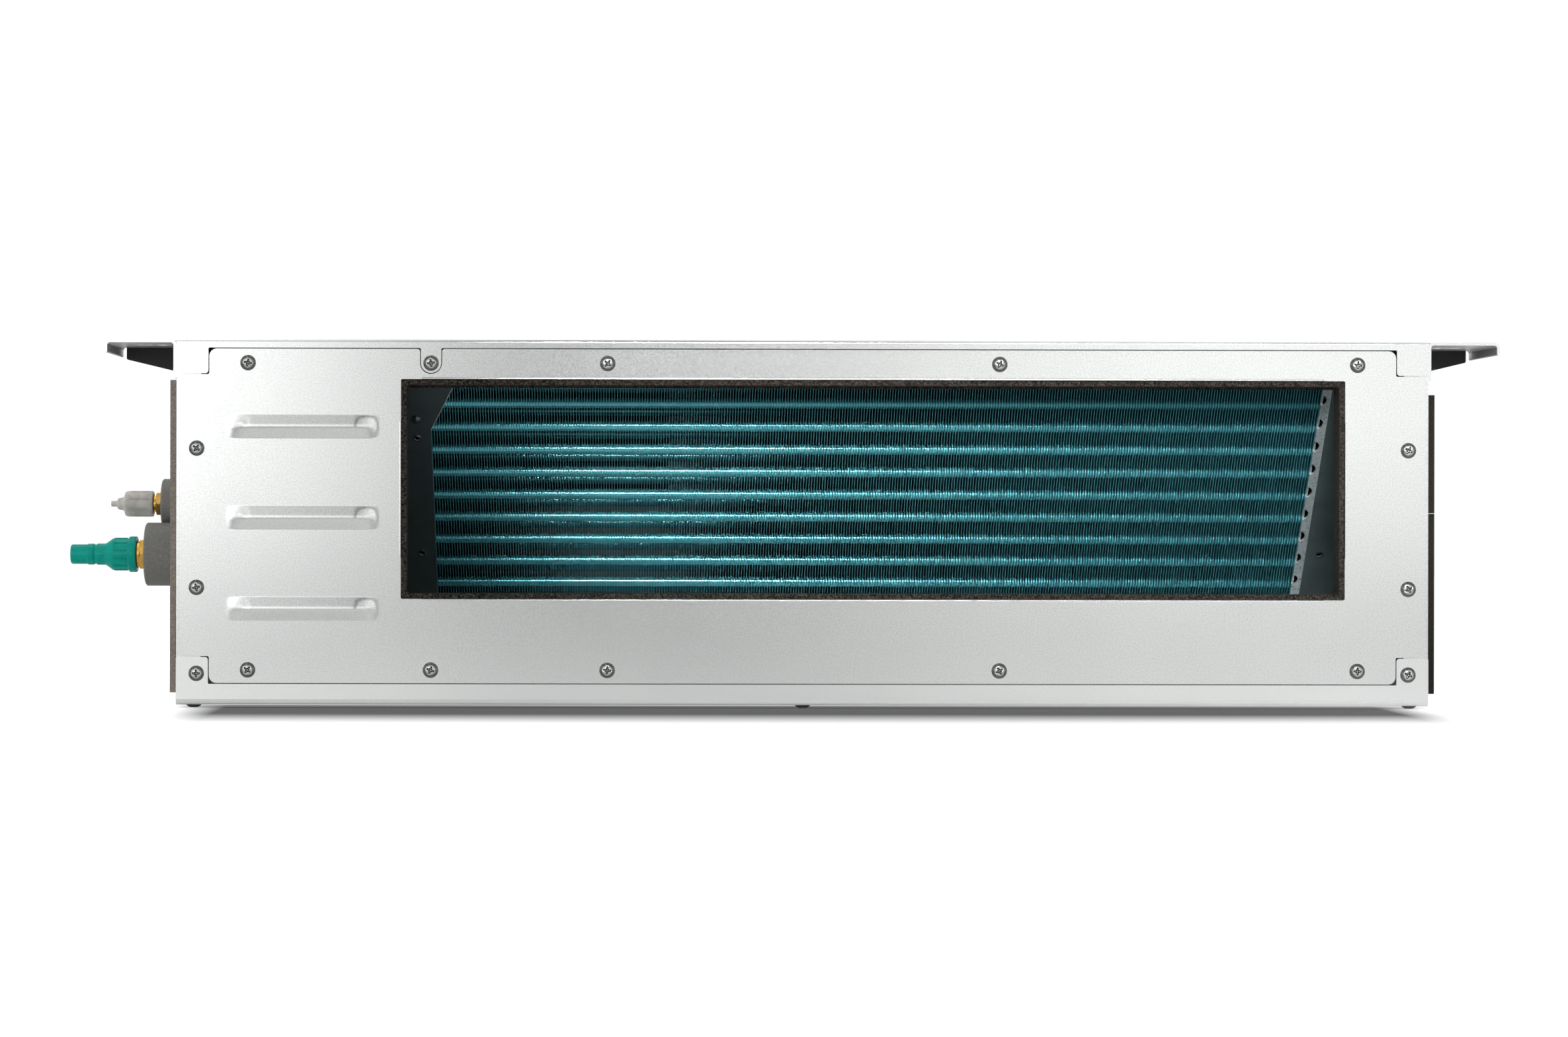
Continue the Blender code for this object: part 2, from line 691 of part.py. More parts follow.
def hanger(name, side, end):
    """A bracket folded from one sheet: side flange, top plate with a keyhole, lip and braced web."""
    inner = SIDE + CLEAR
    outer = SIDE + HANGER_REACH
    t = HANGER_SHEET
    fold = [
        (inner, HEIGHT - HANGER_FLANGE, 0),
        (inner, HEIGHT, HANGER_BEND),
        (outer, HEIGHT, HANGER_BEND + t),
        (outer, HEIGHT - HANGER_LIP, 0),
        (outer - t, HEIGHT - HANGER_LIP, 0),
        (outer - t, HEIGHT - t, HANGER_INSIDE_BEND),
        (inner + t, HEIGHT - t, HANGER_INSIDE_BEND),
        (inner + t, HEIGHT - HANGER_FLANGE, 0),
    ]
    fold = [(side * u, v, radius) for u, v, radius in fold]
    outer_y = end * (DEPTH / 2 - HANGER_SETBACK)
    inner_y = end * (DEPTH / 2 - HANGER_SETBACK - HANGER_DEPTH)
    y = sorted((outer_y, inner_y))
    bracket = prism(name, "Y", [outline(fold)], y[0], y[1], BRACKET)
    slit = outer - HANGER_SLIT_IN
    web = [
        (inner + t / 2, HEIGHT - HANGER_WEB, 0),
        (slit, HEIGHT - (HANGER_WEB + HANGER_WEB_TIP) / 2, 0),
        (slit, HEIGHT - 2 * t, 0),
        (slit + HANGER_SLIT, HEIGHT - 2 * t, 0),
        (slit + HANGER_SLIT, HEIGHT - (HANGER_WEB + HANGER_WEB_TIP) / 2 + HANGER_SLIT / 2, 0),
        (outer - t / 2, HEIGHT - HANGER_LIP - t / 2, 0),
        (outer - t / 2, HEIGHT - t / 2, 0),
        (inner + t / 2, HEIGHT - t / 2, 0),
    ]
    web = [(side * u, v, radius) for u, v, radius in web]
    web_y = sorted((inner_y, inner_y + end * t))
    join(bracket, prism(name + "_web", "Y", [outline(web)], web_y[0], web_y[1]))
    middle = (y[0] + y[1]) / 2
    hole = side * (SIDE + HANGER_HOLE_OUT)
    reach = side * (SIDE + HANGER_HOLE_OUT + HANGER_SLOT_LENGTH)
    half = HANGER_SLOT_WIDTH / 2
    z = (HEIGHT - 2 * t, HEIGHT + t)
    slot = rectangle(min(hole, reach), max(hole, reach), middle - half, middle + half, half * 0.9)
    return cut(
        bracket,
        prism(name + "_slot", "Z", [slot], *z),
        prism(name + "_hole", "Z", [circle(hole, middle, HANGER_HOLE_RADIUS)], *z),
    )


def side_foams():
    y = (FRONT + SHEET, FRONT + FOAM_DEPTH)
    collars = [
        circle(FRONT + GAS_Y, GAS_Z, GAS_COLLAR_RADIUS + CLEAR, ROUND),
        circle(FRONT + LIQUID_Y, LIQUID_Z, LIQUID_COLLAR_RADIUS + CLEAR, ROUND),
    ]
    left = box(
        "left_side_foam",
        (-SIDE - CLEAR - FOAM, -SIDE - CLEAR),
        y,
        (FOAM_LEFT_BOTTOM, HEIGHT - FOAM_LEFT_TOP),
        FOAM_SKIN,
    )
    reach = (-SIDE - 2 * FOAM, -SIDE + FOAM)
    holes = [prism(f"foam_collar_hole_{i}", "X", [loop], *reach) for i, loop in enumerate(collars)]
    spout = circle(FRONT + SPOUT_Y, SPOUT_Z, SPOUT_RADIUS + CLEAR)
    cut(left, *holes, prism("foam_spout_hole", "X", [spout], *reach))
    x = (SIDE + CLEAR, SIDE + CLEAR + FOAM)
    box("right_lower_foam", x, y, (FOAM_LEFT_BOTTOM, FOAM_RIGHT_SPLIT - CLEAR), FOAM_SKIN)
    box("right_upper_foam", x, y, (FOAM_RIGHT_SPLIT, HEIGHT - FOAM_RIGHT_TOP), FOAM_SKIN)


COIL_DOWN = Vector((0, math.sin(COIL_LEAN), -math.cos(COIL_LEAN)))
COIL_INTO = Vector((0, math.cos(COIL_LEAN), math.sin(COIL_LEAN)))
COIL_CORNER = Vector((0, FRONT + COIL_SETBACK, HEIGHT - COIL_DROP))
COIL_LENGTH = COIL_ROWS * TUBE_PITCH
COIL_THICK = COIL_COLUMNS * COLUMN_PITCH
COIL_LEFT = OPENING[0] + COIL_LEFT_MARGIN
COIL_RIGHT = OPENING[1] - COIL_RIGHT_MARGIN


def coil_place(x, down, into):
    """A place on the leaning coil: along it, down its face and into its thickness."""
    return Vector((x, 0, 0)) + COIL_CORNER + COIL_DOWN * down + COIL_INTO * into


def coil_loop(down, into):
    """A rectangle on the coil's end, as (y, z) points, between two distances down and two in."""
    corners = ((down[0], into[0]), (down[1], into[0]), (down[1], into[1]), (down[0], into[1]))
    return [coil_place(0, a, b).yz for a, b in corners]


def tube_places():
    return [
        (row, column, (row + 0.5) * TUBE_PITCH, (column + 0.5) * COLUMN_PITCH)
        for column in range(COIL_COLUMNS)
        for row in range(COIL_ROWS)
    ]


def tube_loops(sides):
    radius = TUBE_RADIUS + CLEAR
    return [circle(*coil_place(0, down, into).yz, radius, sides) for _, _, down, into in tube_places()]


def fin_block():
    """The fins as a comb: a core that holds the tubes and a tooth for each bundle of fins."""
    count = round((COIL_RIGHT - COIL_LEFT) / FIN_PITCH)
    pitch = (COIL_RIGHT - COIL_LEFT) / count
    tooth = pitch * FIN_SHARE
    face = []
    for i in range(count):
        x = COIL_LEFT + i * pitch + (pitch - tooth) / 2
        face += [(x, FIN_GROOVE), (x, 0), (x + tooth, 0), (x + tooth, FIN_GROOVE)]
    ends = [(COIL_LEFT, FIN_GROOVE), (COIL_RIGHT, FIN_GROOVE)]
    front = [ends[0], *face, ends[1]]
    back = [(x, COIL_THICK - into) for x, into in reversed(front)]
    comb = prism("fin_block", "Z", [front + back], -COIL_LENGTH, 0, FINS)
    comb.rotation_euler = (COIL_LEAN, 0, 0)
    comb.location = COIL_CORNER + COIL_DOWN * COIL_LENGTH / 2
    bpy.context.view_layer.update()
    reach = (COIL_LEFT - FLANGE, COIL_RIGHT + FLANGE)
    return cut(comb, prism("fin_holes", "X", tube_loops(6), *reach))


def coil_circuit(name, column):
    """One copper tube that runs to and fro through the fins with a return bend at each end."""
    right = COIL_RIGHT + CLEAR + 4 * END_PLATE
    left = COIL_LEFT - CLEAR - 4 * END_PLATE
    tip = COIL_LEFT - MANIFOLD_STANDOFF
    into = (column + 0.5) * COLUMN_PITCH
    points = [coil_place(tip, TUBE_PITCH / 2, into)]
    for row in range(COIL_ROWS):
        end = right if row % 2 == 0 else left
        outward = 1 if row % 2 == 0 else -1
        middle = coil_place(end, (row + 1) * TUBE_PITCH, into)
        if row == COIL_ROWS - 1:
            points.append(coil_place(tip, (row + 0.5) * TUBE_PITCH, into))
            break
        for step in range(BEND_STEPS + 1):
            turn = math.pi * step / BEND_STEPS
            across = Vector((outward * math.sin(turn), 0, 0)) - COIL_DOWN * math.cos(turn)
            points.append(middle + across * TUBE_PITCH / 2)
    return tube(name, points, TUBE_RADIUS, COPPER, sides=1)


def coil_end_plate(name, x, outward):
    """A steel plate that the tubes pass through, with a flange turned away along the coil's face."""
    down = (-END_PLATE_RIM, COIL_LENGTH + END_PLATE_RIM)
    into = (0, COIL_THICK)
    loops = [coil_loop(down, into), *tube_loops(6)]
    plate_x = sorted((x + outward * CLEAR, x + outward * (CLEAR + END_PLATE)))
    plate = prism(name, "X", loops, *plate_x, PLATE_GREY)
    flange_x = sorted((x + outward * CLEAR, x + outward * END_PLATE_FLANGE))
    flange = prism(name + "_flange", "X", [coil_loop(down, (0, END_PLATE))], *flange_x)
    return join(plate, flange)


def cover_plate(name, near, side, wedge):
    """A blanking plate over the coil's end, lapped on the end plate and run out to the side."""
    far = side * INNER_SIDE
    foot = TUBE_PITCH - COIL_LENGTH
    edge = [(far, foot), (near, foot)]
    if wedge:
        edge.append((near, -COVER_WEDGE_DROP))
    edge += [(near - side * wedge, END_PLATE_RIM), (far, END_PLATE_RIM)]
    x = near + side * COVER_HOLE_IN
    holes = [circle(x, -share * COIL_LENGTH, COVER_HOLE, 8) for share in COVER_HOLE_SHARES]
    plate = prism(name, "Y", [edge, *holes], -CLEAR - COVER_PLATE, -CLEAR, SLATE)
    leaning = Matrix.Translation(COIL_CORNER) @ Matrix.Rotation(COIL_LEAN, 4, "X")
    plate.matrix_world = leaning @ plate.matrix_world
    return plate


def coil():
    fin_block()
    coil_circuit("front_coil_circuit", 0)
    coil_circuit("rear_coil_circuit", 1)
    coil_end_plate("left_coil_end_plate", COIL_LEFT, -1)
    coil_end_plate("right_coil_end_plate", COIL_RIGHT, 1)
    cover_plate("left_cover_plate", COIL_LEFT, -1, COVER_WEDGE)
    cover_plate("right_cover_plate", COIL_RIGHT + END_PLATE_FLANGE - COVER_LAP, 1, 0)


def manifold(name, row):
    """A short closed pipe across both circuits' ends at one row."""
    x = COIL_LEFT - MANIFOLD_STANDOFF - CLEAR - MANIFOLD_RADIUS
    down = (row + 0.5) * TUBE_PITCH
    ends = [coil_place(x, down, MANIFOLD_INSET), coil_place(x, down, COIL_THICK - MANIFOLD_INSET)]
    tube(name, ends, MANIFOLD_RADIUS, COPPER)
    return coil_place(x - MANIFOLD_RADIUS - CLEAR, down, COIL_THICK / 2)


def refrigerant_lines():
    gas = Vector((-SIDE, FRONT + GAS_Y, GAS_Z))
    liquid = Vector((-SIDE, FRONT + LIQUID_Y, LIQUID_Z))
    gas_start = manifold("gas_manifold", 0)
    liquid_start = manifold("liquid_manifold", COIL_ROWS - 1)
    gas_end = Vector((-SIDE - CLEAR - GAS_COLLAR_LENGTH - HEX_LENGTH, gas.y, gas.z))
    route = [
        gas_start,
        Vector((VALVE_X, gas_start.y, gas_start.z)),
        Vector((VALVE_X, gas.y, gas.z)),
        gas_end,
    ]
    tube("gas_pipe", bent(route, LINE_BEND), GAS_TUBE, COPPER)
    liquid_end = Vector((-SIDE - CLEAR - LIQUID_COLLAR_LENGTH - HEX_LENGTH, liquid.y, liquid.z))
    port = Vector((VALVE_X - VALVE_RADIUS - CLEAR, liquid.y, liquid.z))
    tube("liquid_inlet_pipe", [liquid_end, port], LIQUID_TUBE, COPPER)
    foot = Vector((VALVE_X, liquid.y, VALVE_BOTTOM - CLEAR))
    low = Vector((VALVE_X, liquid.y, liquid_start.z))
    turn = Vector((VALVE_X, liquid_start.y, liquid_start.z))
    tube("liquid_outlet_pipe", bent([foot, low, turn, liquid_start], LINE_BEND * 0.8), LIQUID_TUBE, COPPER)
    centre = (VALVE_X, liquid.y, 0)
    neck = VALVE_RADIUS * 0.7
    body = [
        (0, VALVE_TOP + VALVE_COIL_HEIGHT),
        (neck, VALVE_TOP + VALVE_COIL_HEIGHT),
        (neck, VALVE_TOP),
        (VALVE_RADIUS, VALVE_TOP),
        (VALVE_RADIUS, VALVE_BOTTOM + neck),
        (neck, VALVE_BOTTOM),
        (0, VALVE_BOTTOM),
    ]
    turned("expansion_valve", body, centre, "Z", finish=BRASS)
    low = VALVE_TOP + CLEAR
    high = VALVE_TOP + VALVE_COIL_HEIGHT - VALVE_TIP
    bore = neck + CLEAR
    ring = [(bore, high), (VALVE_COIL_RADIUS, high), (VALVE_COIL_RADIUS, low), (bore, low)]
    turned("valve_coil", ring, centre, "Z", closed=True, finish=BLACK)


def pipe_connection(kind, y, z, tube_radius, collar_radius, collar_length, hexagon, thread, finish_cap, cap):
    """Foam collar, brass flare fitting and pull-off cap on one pipe, from the side outwards."""
    centre = (-SIDE, y, z)
    bore = tube_radius + CLEAR
    outer = -CLEAR - collar_length
    ring = [(bore, -CLEAR), (collar_radius, -CLEAR), (collar_radius, outer), (bore, outer)]
    turned(f"{kind}_collar", ring, centre, closed=True, finish=COLLAR)
    hex_x = (outer - CLEAR - HEX_LENGTH, outer - CLEAR)
    six = circle(y, z, hexagon / 2, 6)
    nut = prism(f"{kind}_fitting", "X", [six], -SIDE + hex_x[0], -SIDE + hex_x[1], BRASS)
    shoulder = thread + THREAD_SHOULDER
    neck = hex_x[0] - THREAD_NECK
    tip = hex_x[0] - THREAD_LENGTH
    stub = [
        (0, hex_x[0] + HEX_LENGTH / 2),
        (shoulder, hex_x[0] + HEX_LENGTH / 2),
        (shoulder, neck),
        (thread, neck),
        (thread, tip + EASE),
        (thread - EASE, tip),
        (0, tip),
    ]
    join(nut, turned(f"{kind}_stub", stub, centre))
    pocket = [
        (0, outer + CLEAR),
        (bore, outer + CLEAR),
        (bore, hex_x[0] + CLEAR),
        (tube_radius * 0.7, hex_x[0] + CLEAR),
        (tube_radius * 0.7, tip - CLEAR),
        (0, tip - CLEAR),
    ]
    cut(nut, turned(f"{kind}_pocket", pocket, centre))
    mouth = neck - CLEAR
    bore = thread + CLEAR
    cup = [(0, mouth - CAP_DEPTH), (bore, mouth - CAP_DEPTH), (bore, mouth)]
    cup += [(radius, mouth - along) for radius, along in cap]
    return turned(f"{kind}_cap", cup, centre, finish=finish_cap)


def connections():
    length = GAS_CAP_LENGTH
    wide = GAS_CAP_RADIUS
    gas_cap = [
        (wide, 0.0),
        (wide, length * 0.12),
        (wide * 0.90, length * 0.125),
        (wide * 0.90, length * 0.36),
        (wide * 0.60, length * 0.47),
        (wide * 0.60, length * 0.60),
        (wide * 0.52, length * 0.62),
        (wide * 0.52, length * 0.64),
        (wide * 0.59, length * 0.66),
        (wide * 0.59, length * 0.73),
        (wide * 0.55, length * 0.75),
        (wide * 0.55, length * 0.985),
        (wide * 0.50, length),
        (0, length),
    ]
    pipe_connection(
        "gas", FRONT + GAS_Y, GAS_Z, GAS_TUBE, GAS_COLLAR_RADIUS, GAS_COLLAR_LENGTH,
        GAS_HEX, GAS_THREAD, GREEN, gas_cap,
    )
    length = LIQUID_CAP_LENGTH
    wide = LIQUID_CAP_RADIUS
    liquid_cap = [
        (wide * 0.96, 0.0),
        (wide, length * 0.05),
        (wide, length * 0.60),
        (wide * 0.94, length * 0.66),
        (wide * 0.50, length * 0.72),
        (wide * 0.42, length * 0.84),
        (wide * 0.23, length * 0.86),
        (wide * 0.23, length),
        (0, length),
    ]
    pipe_connection(
        "liquid", FRONT + LIQUID_Y, LIQUID_Z, LIQUID_TUBE, LIQUID_COLLAR_RADIUS, LIQUID_COLLAR_LENGTH,
        LIQUID_HEX, LIQUID_THREAD, GREY_CAP, liquid_cap,
    )


PAN_HALF = SIDE - FLANGE - 2 * CLEAR


def drain_pan():
    """A foam tray under the coil: a sloping trough, a seat for the coil and a spout at the left."""
    front = FRONT + PAN_FRONT
    rear = FRONT + PAN_REAR
    low = PAN_BOTTOM
    coil_foot = coil_place(0, COIL_LENGTH + END_PLATE_RIM, 0)
    seat_high = coil_foot.z - CLEAR
    seat = (coil_foot.y - PAN_SEAT / 2, coil_foot.y + PAN_SEAT / 2)
    edge = [
        (front, low, 0),
        (rear, low, 0),
        (rear, low + PAN_REAR_HEIGHT, PAN_CORNER),
        (rear - PAN_WALL, low + PAN_REAR_HEIGHT, PAN_CORNER),
        (rear - PAN_WALL, seat_high, 0),
        (seat[0], seat_high, EASE),
        (front + PAN_WALL, seat_high, 0),
        (front + PAN_WALL, low + PAN_FRONT_HEIGHT, PAN_CORNER),
        (front, low + PAN_FRONT_HEIGHT, PAN_CORNER),
    ]
    pan = prism("drain_pan", "X", [outline(edge, 2)], -PAN_HALF, PAN_HALF, WHITE_FOAM)
    floor = low + PAN_FLOOR
    trough = [
        (front + PAN_WALL, floor + PAN_FLOOR, 0),
        (seat[0] - PAN_WALL, floor, 0),
        (seat[0] - PAN_WALL / 2, seat_high + PAN_WALL, 0),
        (front + PAN_WALL, seat_high + PAN_WALL, 0),
    ]
    wall = PAN_HALF - PAN_WALL
    cut(pan, prism("pan_trough", "X", [outline(trough)], -wall, wall))
    place = (0, FRONT + SPOUT_Y, SPOUT_Z)
    tip = -SIDE - SPOUT_LENGTH
    spout = turned("spout", [(0, -wall), (SPOUT_RADIUS, -wall), (SPOUT_RADIUS, tip), (0, tip)], place)
    start = -wall + SPOUT_INWARD
    end = tip - CLEAR
    bore = turned("spout_bore", [(0, start), (SPOUT_BORE, start), (SPOUT_BORE, end), (0, end)], place)
    cut(join(pan, spout), bore)
    head = tip - CLEAR
    inside = tip + PLUG_DEPTH
    plug = SPOUT_BORE - CLEAR
    profile = [
        (0, inside), (plug * 0.94, inside), (plug, inside - PLUG_NOSE), (plug, head),
        (SPOUT_RADIUS, head), (SPOUT_RADIUS, head - PLUG_HEAD), (0, head - PLUG_HEAD),
    ]
    return turned("drain_plug", profile, place, finish=RUBBER)


TONGUE_RADIUS = WHEEL_RADIUS + TONGUE_GAP
ROOM = HEIGHT - 2 * SHEET - 2 * SCROLL_ROOM
SPIRAL = math.radians(270) + TONGUE_ANGLE
LOW_SHARE = (math.radians(90) + TONGUE_ANGLE) / SPIRAL
REAR_SHARE = (math.radians(180) + TONGUE_ANGLE) / SPIRAL
SCROLL_RADIUS = (ROOM - (1 - LOW_SHARE) * TONGUE_RADIUS) / (1 + LOW_SHARE)
SCROLL_GROWTH = SCROLL_RADIUS - TONGUE_RADIUS
FAN_Z = SHEET + SCROLL_ROOM + TONGUE_RADIUS + LOW_SHARE * SCROLL_GROWTH
FAN_Y = REAR - FAN_REAR_ROOM - TONGUE_RADIUS - REAR_SHARE * SCROLL_GROWTH
FAN_DECK = FRONT + DECK_Y


def scroll_outline(inset, front):
    """The volute in (y, z): a lip at the tongue, a spiral under and behind, and a flat roof."""
    tongue = FAN_Z + TONGUE_RADIUS * math.sin(TONGUE_ANGLE) + inset
    points = [Vector((front, tongue))]
    for step in range(SCROLL_STEPS + 1):
        swept = SPIRAL * step / SCROLL_STEPS
        radius = TONGUE_RADIUS + SCROLL_GROWTH * swept / SPIRAL - inset
        angle = math.pi - TONGUE_ANGLE + swept
        points.append(Vector((FAN_Y + radius * math.cos(angle), FAN_Z + radius * math.sin(angle))))
    points.append(Vector((front, FAN_Z + SCROLL_RADIUS - inset)))
    return points


def scroll_half(name, x, upper):
    """Half of a volute housing, split at the shaft, with an inlet and its lip on both sides."""
    half = SCROLL_WIDTH / 2
    front = FAN_DECK + DECK_SHEET + CLEAR
    shell = prism(name, "X", [scroll_outline(0, front)], x - half, x + half, BLACK)
    inner = half - SCROLL_WALL
    hollow = prism(name + "_hollow", "X", [scroll_outline(SCROLL_WALL, front - 0.05)], x - inner, x + inner)
    lip = INLET_RADIUS + INLET_LIP
    tips = (x - half - INLET_LIP, x + half + INLET_LIP)
    rings = []
    for side, tip in ((-1, tips[0]), (1, tips[1])):
        wall = x + side * (half - SCROLL_WALL / 2)
        loop = [(0, wall), (lip - INLET_LIP / 2, wall), (lip, tip), (0, tip)]
        rings.append(turned(f"{name}_lip_{side}", loop, (0, FAN_Y, FAN_Z), steps=INLET_SIDES))
    eye_loop = circle(FAN_Y, FAN_Z, INLET_RADIUS, INLET_SIDES)
    eye = prism(name + "_eye", "X", [eye_loop], tips[0] - SHEET, tips[1] + SHEET)
    away = (FAN_Z - HEIGHT, FAN_Z + CLEAR / 2) if upper else (FAN_Z - CLEAR / 2, FAN_Z + HEIGHT)
    rest = box(name + "_other_half", (x - 2 * half, x + 2 * half), (front - DEPTH, REAR + DEPTH), away)
    return cut(join(shell, *rings), hollow, eye, rest)


def outlet_height():
    tongue = FAN_Z + TONGUE_RADIUS * math.sin(TONGUE_ANGLE) + SCROLL_WALL
    return tongue, FAN_Z + SCROLL_RADIUS - SCROLL_WALL


def fan_deck():
    """The wall between the fans and the coil, with an outlet for each fan."""
    half = SCROLL_WIDTH / 2 - SCROLL_WALL
    edge = rectangle(-INNER_SIDE, INNER_SIDE, INNER_BASE + SHEET + CLEAR, INNER_TOP - SHEET - CLEAR)
    holes = []
    for middle in (-FAN_SPACING / 2, FAN_SPACING / 2):
        holes.append(rectangle(middle - half, middle + half, *outlet_height(), OPENING_CORNER))
    return prism("fan_deck", "Y", [edge, *holes], FAN_DECK, FAN_DECK + DECK_SHEET, ZINC)


def blade_gap(index):
    """The outline between two blades, which lean forward by one pitch from inner to outer edge."""
    pitch = 2 * math.pi / BLADES
    start = pitch * (index + BLADE_SHARE / 2)
    gap = pitch * (1 - BLADE_SHARE)
    edge = []
    for share in (-0.3, 0.45, 1.3):
        radius = WHEEL_RADIUS - BLADE_CHORD * (1 - share)
        lead = 2 * share - share ** 2 if share > 0 else 2 * share
        edge.append((radius, start + pitch * lead))
    loop = edge + [(radius, angle + gap) for radius, angle in reversed(edge)]
    return [Vector((radius * math.cos(angle), radius * math.sin(angle))) for radius, angle in loop]


def fan_wheels():
    """Two double-inlet wheels: a hub and disc, and rows of forward-curved blades between rims."""
    half = WHEEL_WIDTH / 2
    disc = WHEEL_DISC / 2
    bore = SHAFT_RADIUS + CLEAR
    inner = WHEEL_RADIUS - BLADE_CHORD
    profile = [
        (bore, HUB_LENGTH / 2), (HUB_RADIUS, HUB_LENGTH / 2), (HUB_RADIUS, disc), (inner, disc),
        (inner, half), (WHEEL_RADIUS, half), (WHEEL_RADIUS, -half), (inner, -half),
        (inner, -disc), (HUB_RADIUS, -disc), (HUB_RADIUS, -HUB_LENGTH / 2), (bore, -HUB_LENGTH / 2),
    ]
    place = (-FAN_SPACING / 2, FAN_Y, FAN_Z)
    wheel = turned("left_fan_wheel", profile, place, closed=True, steps=BLADES, finish=BLACK)
    rows = []
    for side in (-1, 1):
        low, high = sorted((side * (disc + WHEEL_RIM / 2), side * (half - WHEEL_RIM)))
        loops = [blade_gap(i) for i in range(BLADES)]
        row = prism(f"blade_gaps_{side}", "X", loops, low, high)
        row.location = Vector(place) + Vector(((low + high) / 2, 0, 0))
        rows.append(row)
    bpy.context.view_layer.update()
    cut(wheel, *rows)
    left = as_mesh(wheel, BLACK)
    right = bpy.data.objects.new("right_fan_wheel", left.data)
    right.matrix_world = left.matrix_world
    right.location.x = FAN_SPACING / 2
    unit.objects.link(right)
    reach = FAN_SPACING / 2 + HUB_LENGTH
    shaft = [(0, reach), (SHAFT_RADIUS, reach), (SHAFT_RADIUS, -reach), (0, -reach)]
    turned("fan_shaft", shaft, (0, FAN_Y, FAN_Z), steps=12, finish=PLATE_GREY)


def clamp_loop():
    """The outline of a strap that holds a motor ring down: an arch with an ear on both sides."""
    seat = RING_RADIUS + CLEAR
    strap = seat + CLAMP_SHEET
    ear = strap + CRADLE_EAR
    foot = FAN_Z + CLEAR
    top = foot + CLAMP_SHEET
    turns = [math.pi * i / CLAMP_STEPS for i in range(CLAMP_STEPS + 1)]
    arch = [Vector((FAN_Y + strap * math.cos(a), foot + strap * math.sin(a))) for a in turns]
    under = [Vector((FAN_Y + seat * math.cos(a), foot + seat * math.sin(a))) for a in reversed(turns)]
    right = [Vector((FAN_Y + u, v)) for u, v in ((ear, foot), (ear, top), (strap, top))]
    left = [Vector((FAN_Y - u, v)) for u, v in ((strap, top), (ear, top), (ear, foot))]
    return right + [point for point in arch if point.y > top] + left + under


def motor():
    place = (0, FAN_Y, FAN_Z)
    half = MOTOR_LENGTH / 2
    boss = half + BOSS_LENGTH
    bore = SHAFT_RADIUS + CLEAR
    profile = [
        (bore, boss), (BOSS_RADIUS, boss), (BOSS_RADIUS, half), (MOTOR_RADIUS * 0.9, half),
        (MOTOR_RADIUS, half - MOTOR_SHOULDER), (MOTOR_RADIUS, -half + MOTOR_SHOULDER),
        (MOTOR_RADIUS * 0.9, -half),
        (BOSS_RADIUS, -half), (BOSS_RADIUS, -boss), (bore, -boss),
    ]
    turned("fan_motor", profile, place, closed=True, finish=MOTOR_GREY)
    middle = half + RING_GAP + RING_WIDTH / 2
    inner = BOSS_RADIUS + CLEAR
    for name, side in (("left", -1), ("right", 1)):
        low = side * middle - RING_WIDTH / 2
        high = side * middle + RING_WIDTH / 2
        ring = [(inner, high), (RING_RADIUS, high), (RING_RADIUS, low), (inner, low)]
        turned(f"{name}_motor_ring", ring, place, closed=True, finish=RUBBER)
        prism(f"{name}_motor_clamp", "X", [clamp_loop()], low, high, ZINC)
    seat = RING_RADIUS + CLEAR
    turns = [math.pi + math.pi * i / CLAMP_STEPS for i in range(CLAMP_STEPS + 1)]
    notch = [Vector((FAN_Y + seat * math.cos(a), FAN_Z + seat * math.sin(a))) for a in turns]
    wide = seat + CLAMP_SHEET + CRADLE_EAR
    low = INNER_BASE
    cheek = [Vector((FAN_Y + wide, low)), Vector((FAN_Y + wide, FAN_Z)), *reversed(notch)]
    cheek += [Vector((FAN_Y - wide, FAN_Z)), Vector((FAN_Y - wide, low))]
    reach = middle + CRADLE_SHEET / 2
    span = (FAN_Y - wide, FAN_Y + wide)
    floor = box("motor_cradle", (-reach, reach), span, (low, low + CRADLE_SHEET), ZINC)
    for side in (-1, 1):
        near = side * middle - CRADLE_SHEET / 2
        join(floor, prism(f"cradle_cheek_{side}", "X", [cheek], near, near + CRADLE_SHEET))


